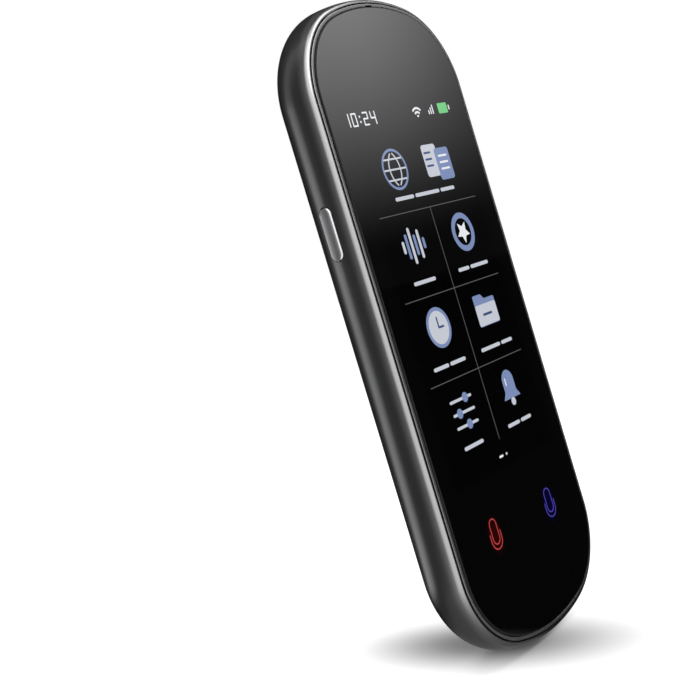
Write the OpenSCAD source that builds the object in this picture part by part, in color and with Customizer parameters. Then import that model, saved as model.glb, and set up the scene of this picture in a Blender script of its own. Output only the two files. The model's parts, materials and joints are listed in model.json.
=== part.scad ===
// Handheld voice translator: a slim slab with crowned ends, a bonded glass front,
// a deep one-piece rear shell, a rear camera and speaker and one sprung side key.
//
// Pieces are drawn lying on their back: x across, y along the length, z from the
// flat back towards the glass. stand() then turns each one upright, so that the
// flat back faces +Y, the screen faces -Y and the length runs along Z.

/* [Body] */
// Width across the sides
body_w = 51; // [50:0.5:56]
// Length from end to end
body_l = 127.5; // [126:0.5:136]
// Thickness from the flat back to the front of the glass
body_t = 13.8; // [13.6:0.1:15]
// Radius of the outline's four corners
corner_r = 17.8; // [17:0.1:19]
// Radius of the crowned ends
end_r = 45.3; // [41:0.1:50]
// Wall of the rear shell
wall = 1.5; // [1.2:0.1:1.8]

/* [Rear shell section] */
// Radius of the side, from its widest level round to the back
side_r = 7; // [6.6:0.1:7.4]
// Radius of the shoulder between the side and the ridge
shoulder_r = 10; // [9.4:0.1:10.6]
// Radius of the hollow between the ridge and the flat back
hollow_r = 2.8; // [2.2:0.1:3.4]
// Radius of the edge of the flat back
back_edge_r = 2.8; // [2.2:0.1:3.2]
// Radius of the bright front rim
rim_r = 1.3; // [1:0.1:1.6]
// Width of the rim, from the outline in to the parting line
rim_w = 1.15; // [1.05:0.05:1.3]
// Depth of the rim below the bezel
rim_drop = 0.2; // [0.1:0.05:0.3]

/* [Front frame and glass] */
// Width of the bezel that shows round the glass
bezel_w = 0.8; // [0.6:0.05:1.1]
// Depth of the bezel below the front of the glass
bezel_drop = 0.3; // [0.2:0.05:0.5]
// Width of the ledge that the glass is bonded to
ledge_w = 3.1; // [2.8:0.1:3.2]
// Thickness of the cover glass
glass_t = 1.1; // [0.9:0.05:1.2]
// Radius of the glass's rounded front edge
glass_edge_r = 0.45; // [0.3:0.05:0.5]
// Thickness of the adhesive under the glass
adhesive_t = 0.2; // [0.15:0.05:0.3]
// Width of the microphone slot at the top of the bezel
top_slot_w = 2.2; // [1.6:0.1:3]
// Width of a snap tongue
tongue_w = 6; // [4:0.5:8]

/* [Display] */
// Distance from the side to the display panel
panel_side = 5.5; // [5.5:0.1:6.5]
// Distance from the top end to the display panel
panel_down = 18.25; // [18:0.25:20]
// Distance from the display panel to the touch keys' centres
panel_touch_gap = 6; // [5.8:0.1:7]
// Thickness of the display panel
panel_t = 1.8; // [1.5:0.1:2]
// Thickness of the steel plate behind the display
plate_t = 0.8; // [0.6:0.05:0.9]
// Thickness of a flexible circuit
flex_t = 0.15; // [0.1:0.05:0.2]

/* [Touch keys] */
// Spacing of the two lit touch keys
touch_pitch = 21.4; // [18:0.2:23]
// Distance from the bottom end to the touch keys' centres
touch_up = 22.75; // [21.5:0.25:23.5]
// Radius of a light guide
guide_r = 2.6; // [2:0.1:3]

/* [Boards] */
// Thickness of the circuit boards
board_t = 1; // [0.8:0.1:1]
// Gap between the steel plate and the main board
board_gap = 0.9; // [0.8:0.1:1]
// Distance from the side to the main board
board_side = 5.3; // [5.1:0.1:5.5]
// Distance from the top end to the main board's lower edge
board_down = 55.75; // [54:0.25:57]
// Distance from the bottom end to the bottom board's upper edge
bottom_board_up = 15.75; // [14.5:0.25:16]
// Width of the bottom board
bottom_board_w = 33; // [31:0.5:34]
// Height of the chips' shield can
can_h = 1.6; // [1.4:0.1:2]
// Radius of a screw's shank
screw_r = 0.6; // [0.5:0.05:0.7]

/* [Battery] */
// Distance from the side to the battery cell
cell_side = 8.5; // [7.5:0.25:11]
// Thickness of the battery cell
cell_t = 6.2; // [5:0.1:6.6]
// Distance from the main board to the cell
cell_board_gap = 4; // [3.5:0.5:6]
// Distance from the bottom board to the cell
cell_bottom_gap = 2; // [1.5:0.5:4]
// Thickness of the battery's mounting tape
tape_t = 0.4; // [0.3:0.05:0.5]

/* [Speaker] */
// Distance from the camera to the speaker's centre
speaker_down = 12; // [11.8:0.1:12.6]
// Width of the speaker
speaker_w = 16; // [15:0.5:17]
// Height of the speaker along the body
speaker_h = 11; // [10:0.5:11]
// Depth of the speaker
speaker_d = 3.75; // [3:0.05:4.2]
// Radius of a sound hole
sound_hole_r = 0.75; // [0.5:0.05:0.9]
// Distance from the centre of the sound holes' arcs to the upper row
upper_row_r = 13.6; // [13:0.1:14]
// Distance from the centre of the sound holes' arcs to the lower row
lower_row_r = 16.85; // [16:0.05:17.5]
// Height of that centre above the camera
row_centre_up = 3.1; // [2.8:0.1:3.6]
// Distance between neighbouring sound holes
sound_pitch = 2.2; // [2:0.05:2.3]

/* [Camera] */
// Distance from the top end to the camera
camera_down = 13.55; // [13.2:0.05:14.5]
// Radius of the camera's bezel
camera_r = 3.75; // [3.4:0.05:4]
// Radius of the camera's window
window_r = 2.6; // [2.2:0.05:2.8]
// Width of the square camera housing
camera_w = 8.5; // [8:0.1:8.6]
// Depth of the camera housing
camera_d = 4.3; // [3.6:0.1:4.4]
// Radius of the sliding lens barrel
barrel_r = 2.2; // [1.8:0.05:2.5]
// Focus travel of the lens barrel
focus_travel = 0.25; // [0.15:0.05:0.3]

/* [Side key] */
// Distance from the top end to the key's centre
key_down = 42.2; // [40:0.1:43]
// Height of the key above the flat back
key_z = 8.7; // [8.4:0.05:8.75]
// Width of the key
key_w = 2.8; // [2.6:0.1:3.4]
// Length of the key
key_l = 10; // [9:0.1:13]
// How far the key stands out of the side
key_proud = 0.4; // [0.35:0.05:0.6]
// Travel of the key
key_travel = 0.25; // [0.15:0.05:0.3]

/* [Ports] */
// Height of the USB port above the flat back
port_z = 8.4; // [8.3:0.05:8.45]
// Width of the USB port's steel shell
port_w = 8.94; // [8.9:0.01:9]
// Height of the USB port's steel shell
port_h = 3.26; // [3.2:0.01:3.3]
// Length of the USB port's steel shell
port_l = 7.35; // [6.5:0.05:8]
// Distance of the first microphone hole from the middle
mic_x = 5.75; // [5.6:0.05:6.2]
// Distance between the two microphone holes
mic_pitch = 1.25; // [1.1:0.05:1.5]
// Radius of a microphone hole
mic_r = 0.4; // [0.3:0.05:0.5]

/* [Fits] */
// Gap of the parting line round the bezel
parting_gap = 0.15; // [0.1:0.01:0.2]
// Gap between parts that drop into place
fit = 0.1; // [0.08:0.01:0.15]
// Radial clearance of parts that slide
running_fit = 0.06; // [0.04:0.01:0.08]

/* [Hidden] */
$fn = 64;

// Outline: four corner arcs joined by two long straight sides and two crowned ends
half_w = body_w / 2;
half_l = body_l / 2;
corner_x = half_w - corner_r;
crown_y = half_l - end_r;
corner_rise = sqrt(pow(end_r - corner_r, 2) - pow(corner_x, 2));
corner_y = crown_y + corner_rise;

// Rear shell section, as arcs that meet tangent to each other. An angle is that of
// the surface's normal, from straight out of the side (0) to straight back (90).
side_angle = 36.87;
ridge_angle = 70;
step_angle = 40;
front_angle = -12;
rim_angle = -60;
arc_step = 6;

back_runs = [
    [back_edge_r, 90, step_angle],
    [-hollow_r, step_angle, ridge_angle],
    [shoulder_r, ridge_angle, side_angle],
    [side_r, side_angle, 0]
];
cavity_runs = [for (run = back_runs) [run[0] - wall, run[1], run[2]]];
widest = chain_end([0, 0], back_runs);
flat_inset = widest[0];
widest_z = widest[1];

// Levels, counted from the flat back
bezel_z = body_t - bezel_drop;
rim_z = bezel_z - rim_drop;
rim_rise = rim_z - widest_z;
front_r = (rim_rise - rim_r * (sin(-rim_angle) - sin(-front_angle))) / sin(-front_angle);
glass_z = body_t - glass_t;
ledge_z = glass_z - adhesive_t;
plate_front = glass_z - panel_t;
plate_z = plate_front - plate_t;
board_front = plate_z - board_gap;
board_z = board_front - board_t;
cell_front = plate_z - tape_t;
cell_z = cell_front - cell_t;
step_depth = 1.5;
step_z = bezel_z - step_depth;
skirt_z = plate_z + 0.3;

// Insets of the front frame, counted inwards from the outline
bezel_out = rim_w + parting_gap;
bezel_in = bezel_out + bezel_w;
glass_inset = bezel_in + fit;
skirt_out = wall + fit;
skirt_in = skirt_out + 1;
plate_inset = skirt_in + fit;
ledge_in = bezel_in + ledge_w;
board_gap_side = 1.5;
board_inset = wall + board_gap_side;

// Places along the length, counted up from the body's middle, and half widths
camera_y = half_l - camera_down;
speaker_y = camera_y - speaker_down;
row_centre_y = camera_y + row_centre_up;
key_y = half_l - key_down;
touch_y = half_l - touch_up;
panel_top = half_l - panel_down;
panel_low = panel_touch_gap - touch_y;
panel_l = panel_top - panel_low;
panel_w = body_w - 2 * panel_side;
board_low = half_l - board_down;
board_half = half_w - board_side;
bottom_board_high = half_l - bottom_board_up;
cell_top = board_low - cell_board_gap;
cell_l = cell_top + bottom_board_high - cell_bottom_gap;
cell_w = body_w - 2 * cell_side;

// Snap fit between the frame's tongues and the shell's catches
tongue_end = corner_y - 6.85;
tongue_places = [-tongue_end, -14, key_y - 13.55, tongue_end];
tongue_out = wall + 0.5;
tongue_t = 0.5;
hook_d = 0.3;
hook_h = 0.7;
catch_d = 0.4;
catch_h = 0.5;
catch_z = skirt_z - 0.9;

// Screws
head_r = 2 * screw_r;
head_h = 0.45;
stand_off_r = 1.5;
screw_edge = 2.6;
board_screw_places = [
    [-board_half + 3.7, camera_y - 3.2], [board_half - 3.7, camera_y - 3.2],
    [-board_half + 3.7, board_low + screw_edge], [board_half - 2.2, board_low + screw_edge]
];
bottom_screw_x = bottom_board_w / 2 - screw_edge;
bottom_screw_y = -bottom_board_high - 4;
bottom_screw_places = [[-bottom_screw_x, bottom_screw_y], [bottom_screw_x, bottom_screw_y]];
plate_screw_x = half_w - (skirt_in + ledge_in) / 2;
plate_screw_places = [15 - corner_y, board_low - 6, corner_y - 8.85];

// Camera
flange_t = 0.6;
flange_r = camera_r + 0.45;
window_t = 0.6;
window_z = 1;
camera_z = wall + flange_t;
lens_gap = 0.35;
barrel_z = window_z + window_t + lens_gap + focus_travel;
barrel_l = 3.2;
sensor_z = camera_z + camera_d;
sensor_t = 0.6;

// Speaker
mesh_t = 0.15;
gasket_t = 0.6;
speaker_z = wall + mesh_t + gasket_t;
speaker_back = speaker_z + speaker_d;
pocket_wall = 0.8;
pocket_h = 2.5;

// Side key, with depths counted inwards from the widest level of the side
key_r = key_w / 2;
key_stop = wall + 0.05;
key_flange_t = 0.6;
key_wing = 0.8;
nub_l = 0.4;
plunger_r = 0.6;
switch_face = key_stop + key_flange_t + nub_l + key_travel + fit;
switch_d = 1.35;
switch_l = 3.5;
switch_h = 2.2;
switch_back = switch_face + switch_d;
bracket_t = half_w - switch_back - flex_t - board_half - 0.3;

// USB port and microphones
port_wall = 0.3;
port_recess = 0.5;
port_end = half_l - port_recess;
bottom_board_front = port_z - port_h / 2;
bottom_board_z = bottom_board_front - board_t;
mic_body = [3.5, 2.65, 0.8];
mic_z = bottom_board_front + mic_body[2] + 0.3;
top_mic_y = half_l - (skirt_in + ledge_in) / 2;

shell_colour = [0.25, 0.25, 0.26];
frame_colour = [0.32, 0.32, 0.33];
glass_colour = [0.03, 0.03, 0.04];
board_colour = [0.05, 0.25, 0.16];
flex_colour = [0.72, 0.42, 0.12];
steel_colour = [0.7, 0.7, 0.72];
black = [0.08, 0.08, 0.09];

// ---- Curves ----

function arc_point(r, a) = [r * cos(a), -r * sin(a)];

// Where a chain of arcs ends. A run is [radius, first angle, last angle], and a
// negative radius makes the run hollow.
function chain_end(start, runs, i = 0) =
    i == len(runs) ? start
    : chain_end(start + arc_point(runs[i][0], runs[i][2]) - arc_point(runs[i][0], runs[i][1]),
                runs, i + 1);

// Points along one run, without its first
function run_points(start, run) =
    let (n = max(2, ceil(abs(run[2] - run[1]) / arc_step)),
         centre = start - arc_point(run[0], run[1]))
    [for (k = [1 : n]) centre + arc_point(run[0], run[1] + (run[2] - run[1]) * k / n)];

function chain_points(start, runs, i = 0) =
    i == len(runs) ? [start]
    : concat([start], [for (p = run_points(start, runs[i])) p],
             len(runs) == i + 1 ? []
             : [for (p = rest(chain_points(chain_end(start, [runs[i]]), runs, i + 1))) p]);

function rest(list) = [for (k = [1 : 1 : len(list) - 1]) list[k]];

// ---- Sweeps round the outline ----

// Puts a section at a radius. A solid section can read how far it reaches inwards.
module at_radius($reach) {
    translate([$reach, 0])
        children();
}

// The sector that a crowned end fills. Its sides are the lines through the centres
// of the crown and the corners, where their arcs meet.
module crown_sector() {
    side = 5 * [corner_x, corner_rise];
    translate([0, crown_y, -body_t])
        linear_extrude(3 * body_t)
            polygon([[0, 0], side, [-side[0], side[1]]]);
}

// Runs a section round the outline. In the section x is the distance out from the
// outline, so that material inside it is at negative x, and y is the height.
module sweep_round() {
    for (turn = [0, 180])
        rotate([0, 0, turn]) {
            for (side = [0, 1])
                mirror([side, 0, 0]) {
                    difference() {
                        translate([corner_x, corner_y, 0])
                            rotate_extrude(angle = 90)
                                at_radius(corner_r)
                                    children();
                        crown_sector();
                    }
                    rotate([90, 0, 0])
                        translate([0, 0, -corner_y])
                            linear_extrude(corner_y)
                                at_radius(half_w)
                                    children();
                }
            intersection() {
                translate([0, crown_y, 0])
                    rotate_extrude(angle = 180)
                        at_radius(end_r)
                            children();
                crown_sector();
            }
        }
}

// A solid that fills the outline, with its edge along the given [x, height] points.
// Its turned sections stop short of their axes, and a core fills the middle.
module slab(edge) {
    stop = 0.5;
    core = [corner_x + 2 * stop, corner_y + 2 * stop];
    low = edge[0][1];
    high = edge[len(edge) - 1][1];
    sweep_round()
        polygon(concat([[stop - $reach, low]], edge, [[stop - $reach, high]]));
    block([-core[0], -core[1], low], [core[0], core[1], high]);
}

// A flat slab at one inset
module plain_slab(inset, low, high) {
    slab([[-inset, low], [-inset, high]]);
}

// Turns a piece drawn on its back upright
module stand() {
    rotate([90, 0, 0])
        children();
}

// A box from its lowest corner to its highest
module block(low, high) {
    translate(low)
        cube(high - low);
}

module rod(place, r, low, high) {
    translate([place[0], place[1], low])
        cylinder(r = r, h = high - low);
}

// A flat pill, long along y
module pill(r, length) {
    for (end = [-1, 1])
        translate([0, end * (length / 2 - r)])
            circle(r);
    square([2 * r, length - 2 * r], center = true);
}

// A rounded rectangle
module rounded(size, r) {
    for (x = [-1, 1], y = [-1, 1])
        translate([x * (size[0] / 2 - r), y * (size[1] / 2 - r)])
            circle(r);
    square([size[0], size[1] - 2 * r], center = true);
    square([size[0] - 2 * r, size[1]], center = true);
}

// Draws a strip's [y, z] outline across x, from low to high
module strip(low, high) {
    translate([low, 0, 0])
        rotate([90, 0, 90])
            linear_extrude(high - low)
                children();
}

// Puts a piece that is drawn along z into the left side, at the key's centre. Its
// z is then the distance out from the side's widest level.
module at_key() {
    translate([-half_w, key_y, key_z])
        rotate([0, -90, 0])
            children();
}

module in_pairs(places) {
    for (p = places)
        translate([p[0], p[1], 0])
            children();
}

// ---- Casing ----

function shell_edge() =
    concat(chain_points([-flat_inset, 0], back_runs),
           rest(chain_points([0, widest_z], [[front_r, 0, front_angle],
                                             [rim_r, front_angle, rim_angle]])));

function cavity_edge() =
    concat(chain_points([-flat_inset, wall], cavity_runs), [[-wall, body_t]]);

module sound_holes() {
    for (row = [[upper_row_r, 5], [lower_row_r, 7]])
        for (k = [0 : row[1] - 1]) {
            a = (k - (row[1] - 1) / 2) * sound_pitch / row[0] * 180 / PI;
            translate([row[0] * sin(a), row_centre_y - row[0] * cos(a), -1])
                cylinder(r = sound_hole_r, h = wall + 2);
        }
}

// Low walls inside the shell round a part that drops in
module pocket(centre, size, height) {
    difference() {
        block([centre[0] - size[0] / 2 - pocket_wall, centre[1] - size[1] / 2 - pocket_wall, 0],
              [centre[0] + size[0] / 2 + pocket_wall, centre[1] + size[1] / 2 + pocket_wall,
               wall + height]);
        block([centre[0] - size[0] / 2, centre[1] - size[1] / 2, -1],
              [centre[0] + size[0] / 2, centre[1] + size[1] / 2, wall + height + 1]);
    }
}

module catches() {
    for (y = tongue_places, side = [0, 1])
        mirror([side, 0, 0])
            block([half_w - wall - catch_d, y - tongue_w / 2 - 0.5, catch_z],
                  [half_w - wall + 0.4, y + tongue_w / 2 + 0.5, catch_z + catch_h]);
}

module board_posts() {
    for (side = [-1, 1], y = [board_low + 8, board_low + 25])
        rod([side * (board_half - 1.4), y], 0.9, 0, board_z);
}

module rear_shell() {
    color(shell_colour)
        stand()
            difference() {
                union() {
                    difference() {
                        slab(shell_edge());
                        slab(cavity_edge());
                    }
                    intersection() {
                        slab(shell_edge());
                        union() {
                            pocket([0, speaker_y], [speaker_w + 2 * fit, speaker_h + 2 * fit],
                                   pocket_h);
                            pocket([0, camera_y], [camera_w + 2 * fit, camera_w + 2 * fit],
                                   pocket_h);
                            board_posts();
                        }
                    }
                    catches();
                }
                // Seat of the bezel in the front rim
                plain_slab(rim_w, step_z, body_t);
                // Camera, sound, USB and microphone openings
                rod([0, camera_y], camera_r + fit / 2, -1, wall + 1);
                sound_holes();
                translate([0, -half_l + wall + 2, port_z])
                    rotate([90, 90, 0])
                        linear_extrude(wall + 4)
                            pill(port_h / 2 + fit, port_w + 2 * fit);
                for (k = [0, 1])
                    translate([-mic_x - k * mic_pitch, -half_l + wall + 1.5, mic_z])
                        rotate([90, 0, 0])
                            cylinder(r = mic_r, h = wall + 4);
                // Key opening, and the flat seat behind it for the key's wings
                at_key()
                    translate([0, 0, -wall - 1.5])
                        linear_extrude(wall + 3)
                            pill(key_r + fit, key_l + 2 * fit);
                at_key()
                    translate([0, 0, -key_stop - 2.5])
                        linear_extrude(2.5)
                            pill(key_r + fit, key_l + 2 * key_wing + 2 * fit);
            }
}

module front_frame() {
    chamfer = 0.15;
    color(frame_colour)
        stand()
            difference() {
                union() {
                    sweep_round()
                        polygon([
                            [-skirt_out, skirt_z],
                            [-skirt_out, step_z],
                            [-bezel_out, step_z],
                            [-bezel_out, bezel_z - chamfer],
                            [-bezel_out - chamfer, bezel_z],
                            [-bezel_in + chamfer, bezel_z],
                            [-bezel_in, bezel_z - chamfer],
                            [-bezel_in, ledge_z],
                            [-ledge_in, ledge_z],
                            [-ledge_in, plate_front],
                            [-skirt_in, plate_front],
                            [-skirt_in, skirt_z]
                        ]);
                    tongues();
                }
                top_sound_path();
                for (side = [-1, 1], y = plate_screw_places)
                    rod([side * plate_screw_x, y], screw_r + fit / 2, plate_front - 1,
                        plate_front + 1.2);
            }
}

module tongues() {
    for (y = tongue_places, side = [0, 1])
        mirror([side, 0, 0]) {
            block([half_w - tongue_out - tongue_t, y - tongue_w / 2, catch_z - fit - hook_h],
                  [half_w - tongue_out, y + tongue_w / 2, skirt_z + 0.2]);
            block([half_w - tongue_out - tongue_t, y - tongue_w / 2, catch_z - fit - hook_h],
                  [half_w - tongue_out + hook_d, y + tongue_w / 2, catch_z - fit]);
        }
}

// From the slot in the bezel down beside the glass, then back over the microphone
module top_sound_path() {
    slot_y = half_l - bezel_in + 0.3;
    bend_z = plate_front + 0.4;
    bend_y = half_l - bezel_in - 0.25;
    block([-top_slot_w / 2, bend_y, bend_z], [top_slot_w / 2, slot_y, body_t]);
    block([-0.5, top_mic_y - 0.4, bend_z], [0.5, slot_y, bend_z + 0.5]);
    block([-0.5, top_mic_y - 0.4, plate_front - 1], [0.5, top_mic_y + 0.4, bend_z + 0.5]);
}

module cover_glass() {
    edge = concat([[-glass_inset, glass_z]],
                  chain_points([-glass_inset, body_t - glass_edge_r], [[glass_edge_r, 0, -90]]));
    color(glass_colour)
        stand()
            slab(edge);
}

module glass_adhesive() {
    color(black)
        stand()
            difference() {
                plain_slab(glass_inset + 0.2, ledge_z, glass_z);
                plain_slab(ledge_in - 0.2, ledge_z - 1, glass_z + 1);
            }
}

// ---- Display and touch keys ----

flex_x = [-8, -0.5];
flex_fold = 2.2;
bottom_flex_x = [1.5, 7.5];
touch_tail_x = [9, 11.5];
touch_high = panel_low - flex_fold - 0.8;
touch_low = -touch_y - guide_r - 1.2;
tail_y = -bottom_board_high + 0.7;

module display_panel() {
    color([0.1, 0.1, 0.12])
        stand()
            translate([0, panel_top - panel_l / 2, plate_front])
                linear_extrude(panel_t)
                    rounded([panel_w, panel_l], 1);
}

// The tail leaves the panel's lower edge, folds through a slot in the steel plate
// and runs up behind it to the main board
module display_flex() {
    fold_y = panel_low - flex_fold;
    top_z = plate_front + 0.1;
    color(flex_colour)
        stand()
            strip(flex_x[0], flex_x[1])
                polygon([
                    [panel_low, top_z],
                    [panel_low, top_z + flex_t],
                    [fold_y, top_z + flex_t],
                    [fold_y, plate_z - flex_t],
                    [board_low + 5, plate_z - flex_t],
                    [board_low + 5, plate_z],
                    [fold_y + flex_t, plate_z],
                    [fold_y + flex_t, top_z]
                ]);
}

module steel_plate() {
    color(steel_colour)
        stand()
            difference() {
                union() {
                    plain_slab(plate_inset, plate_z, plate_front);
                    in_pairs(board_screw_places)
                        rod([0, 0], stand_off_r, board_front, plate_z + 0.1);
                    in_pairs(bottom_screw_places)
                        rod([0, 0], stand_off_r, bottom_board_front, plate_z + 0.1);
                }
                in_pairs(concat(board_screw_places, bottom_screw_places))
                    rod([0, 0], screw_r + fit / 2, bottom_board_front - 1, plate_front - 0.2);
                for (side = [-1, 1], y = plate_screw_places)
                    rod([side * plate_screw_x, y], screw_r + fit, plate_z - 1, plate_front + 1);
                // Slots for the display's tail and the touch keys' tail
                block([flex_x[0] - 0.5, panel_low - flex_fold - 0.5, plate_z - 1],
                      [flex_x[1] + 0.5, panel_low - 0.2, plate_front + 1]);
                block([touch_tail_x[0] - 0.5, tail_y - 0.5, plate_z - 1],
                      [touch_tail_x[1] + 0.5, tail_y + flex_t + 0.5, plate_front + 1]);
                // Room for the top microphone's boot
                block([-1.6, top_mic_y - 1.4, plate_z - 1], [1.6, half_l, plate_front + 1]);
            }
}

module touch_key_flex() {
    socket_z = bottom_board_front + low_socket_h;
    color(flex_colour)
        stand() {
            block([-touch_pitch / 2 - guide_r - 1, touch_low, plate_front],
                  [touch_pitch / 2 + guide_r + 1, touch_high, plate_front + flex_t]);
            strip(touch_tail_x[0], touch_tail_x[1])
                polygon([
                    [touch_low + 1, plate_front],
                    [touch_low + 1, plate_front + flex_t],
                    [tail_y, plate_front + flex_t],
                    [tail_y, socket_z + flex_t],
                    [tail_y - 3, socket_z + flex_t],
                    [tail_y - 3, socket_z],
                    [tail_y + flex_t, socket_z],
                    [tail_y + flex_t, plate_front]
                ]);
        }
}

module touch_key_leds() {
    color([0.9, 0.9, 0.85])
        stand()
            for (side = [-1, 1])
                block([side * touch_pitch / 2 - 0.8, -touch_y - 0.4, plate_front + flex_t],
                      [side * touch_pitch / 2 + 0.8, -touch_y + 0.4, plate_front + flex_t + 0.4]);
}

module touch_key_light_guides() {
    color([0.85, 0.85, 0.9, 0.8])
        stand()
            for (side = [-1, 1])
                rod([side * touch_pitch / 2, -touch_y], guide_r, plate_front + flex_t + 0.4,
                    glass_z);
}

// ---- Boards ----

socket_h = board_gap - flex_t;
low_socket_h = 0.85;
battery_socket = [7.2 - board_half, board_low + 2.9];
camera_socket = [10.5, camera_y];
can_low = [-9, board_low + 6];
can_high = [17, board_low + 22];
can_mid = (can_low[1] + can_high[1]) / 2;
can_t = 0.2;

module main_board() {
    color(board_colour)
        stand()
            difference() {
                intersection() {
                    plain_slab(board_inset, board_z, board_front);
                    block([-board_half, board_low, 0], [board_half, half_l, body_t]);
                }
                in_pairs(board_screw_places)
                    rod([0, 0], screw_r + fit, 0, body_t);
            }
}

module socket(centre, size, low) {
    block([centre[0] - size[0] / 2, centre[1] - size[1] / 2, low],
          [centre[0] + size[0] / 2, centre[1] + size[1] / 2, low + size[2]]);
}

// The boards' connectors: two for the long tails, one each for the battery, the
// camera and the two tails of the bottom board
module flex_sockets() {
    tail_w = flex_x[1] - flex_x[0];
    bottom_w = bottom_flex_x[1] - bottom_flex_x[0];
    touch_w = touch_tail_x[1] - touch_tail_x[0];
    color([0.85, 0.83, 0.75])
        stand() {
            socket([flex_x[0] + tail_w / 2, board_low + 3.5], [tail_w, 3, socket_h], board_front);
            socket([bottom_flex_x[0] + bottom_w / 2, board_low + 3.5], [bottom_w, 3, socket_h],
                   board_front);
            socket(battery_socket, [4, 3, 1.7], board_z - 1.7);
            socket(camera_socket, [4, 4.5, board_z - sensor_z - sensor_t],
                   sensor_z + sensor_t);
            socket([bottom_flex_x[0] + bottom_w / 2, -bottom_board_high - 1.8],
                   [bottom_w, 2.4, low_socket_h], bottom_board_front);
            socket([touch_tail_x[0] + touch_w / 2, -bottom_board_high - 1.3],
                   [touch_w, 1.6, low_socket_h], bottom_board_front);
        }
}

module shield_can() {
    color(steel_colour)
        stand()
            difference() {
                block([can_low[0], can_low[1], board_z - can_h],
                      [can_high[0], can_high[1], board_z]);
                block([can_low[0] + can_t, can_low[1] + can_t, board_z - can_h + can_t],
                      [can_high[0] - can_t, can_high[1] - can_t, board_z + 1]);
            }
}

module chip(centre, size) {
    color(black)
        stand()
            socket(centre, size, board_z - size[2]);
}

processor_size = [11, 11, 1];
memory_size = [9, 11.5, 0.9];
power_size = [6, 6, 0.8];
chip_gap = 1.2;

module processor() {
    chip([can_low[0] + can_t + chip_gap + processor_size[0] / 2, can_mid], processor_size);
}

module memory_chip() {
    chip([can_high[0] - can_t - chip_gap - memory_size[0] / 2, can_mid], memory_size);
}

module power_chip() {
    chip([can_low[0] - chip_gap - power_size[0] / 2, can_mid + 4.5], power_size);
}

module top_microphone() {
    color(steel_colour)
        stand()
            socket([0, top_mic_y - 0.6], mic_body, board_front);
}

module top_microphone_boot() {
    color(black)
        stand()
            difference() {
                rod([0, top_mic_y], 1.2, board_front + mic_body[2], plate_front);
                rod([0, top_mic_y], mic_r, 0, body_t);
            }
}

module bottom_board() {
    edge = board_inset + 0.3;
    color(board_colour)
        stand()
            difference() {
                intersection() {
                    plain_slab(edge, bottom_board_z, bottom_board_front);
                    block([-bottom_board_w / 2, -half_l, 0],
                          [bottom_board_w / 2, -bottom_board_high, body_t]);
                }
                in_pairs(bottom_screw_places)
                    rod([0, 0], screw_r + fit, 0, body_t);
            }
}

module bottom_flex() {
    rise_y = -bottom_board_high + 0.7;
    socket_z = bottom_board_front + low_socket_h;
    color(flex_colour)
        stand()
            strip(bottom_flex_x[0], bottom_flex_x[1])
                polygon([
                    [rise_y - 3.6, socket_z],
                    [rise_y - 3.6, socket_z + flex_t],
                    [rise_y - flex_t, socket_z + flex_t],
                    [rise_y - flex_t, plate_z],
                    [board_low + 5, plate_z],
                    [board_low + 5, plate_z - flex_t],
                    [rise_y, plate_z - flex_t],
                    [rise_y, socket_z]
                ]);
}

module bottom_microphone() {
    color(steel_colour)
        stand()
            socket([-mic_x - mic_pitch / 2, -half_l + board_inset + 2.2], mic_body,
                   bottom_board_front);
}

// A rubber duct from the two holes in the end wall onto the microphone
module bottom_microphone_boot() {
    x = -mic_x - mic_pitch / 2;
    mouth = -half_l + board_inset + 2.2;
    color(black)
        stand()
            difference() {
                intersection() {
                    slab([for (p = cavity_edge()) p - [0.05, 0]]);
                    block([x - 1.3, -half_l, bottom_board_front + mic_body[2]],
                          [x + 1.3, mouth + 1, mic_z + 0.75]);
                }
                for (k = [0, 1])
                    translate([-mic_x - k * mic_pitch, mouth, mic_z])
                        rotate([90, 0, 0])
                            cylinder(r = mic_r, h = half_l);
                rod([x, mouth], mic_r, 0, mic_z);
            }
}

module usb_shell() {
    color(steel_colour)
        stand()
            translate([0, -port_end + port_l, port_z])
                rotate([90, 90, 0])
                    difference() {
                        linear_extrude(port_l)
                            pill(port_h / 2, port_w);
                        translate([0, 0, 0.4])
                            linear_extrude(port_l)
                                pill(port_h / 2 - port_wall, port_w - 2 * port_wall);
                    }
}

tongue_half = 3.35;
tongue_half_t = 0.35;

module usb_tongue() {
    back_y = -port_end + port_l - 0.4;
    color(black)
        stand() {
            block([-tongue_half - 0.3, back_y - 1.6, port_z - 1],
                  [tongue_half + 0.3, back_y, port_z + 1]);
            block([-tongue_half, -port_end + 0.8, port_z - tongue_half_t],
                  [tongue_half, back_y, port_z + tongue_half_t]);
        }
}

module usb_contacts() {
    back_y = -port_end + port_l - 2;
    color([0.85, 0.68, 0.3])
        stand()
            for (k = [-5.5 : 5.5], side = [-1, 1])
                translate([k * 0.5, 0, port_z + side * (tongue_half_t + 0.04)])
                    block([-0.12, -port_end + 1.2, -0.04], [0.12, back_y, 0.04]);
}

// ---- Battery ----

module battery_cell() {
    color([0.75, 0.76, 0.78])
        stand()
            translate([0, cell_top - cell_l / 2, cell_z])
                linear_extrude(cell_t)
                    rounded([cell_w, cell_l], 2.5);
}

lead_z = board_z - 1;
lead_r = 0.45;
cell_board = [cell_w - 6, 2.6, 0.8];

module battery_board() {
    color(board_colour)
        stand()
            socket([0, cell_top + cell_board[1] / 2], cell_board, lead_z - cell_board[2] / 2);
}

module battery_leads() {
    color([0.75, 0.1, 0.08])
        stand()
            for (k = [-1, 1])
                translate([battery_socket[0] + 2 * k * lead_r, battery_socket[1] - 1.5, lead_z])
                    rotate([90, 0, 0])
                        cylinder(r = lead_r, $fn = 24,
                                 h = battery_socket[1] - 1.5 - cell_top - cell_board[1]);
}

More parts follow.
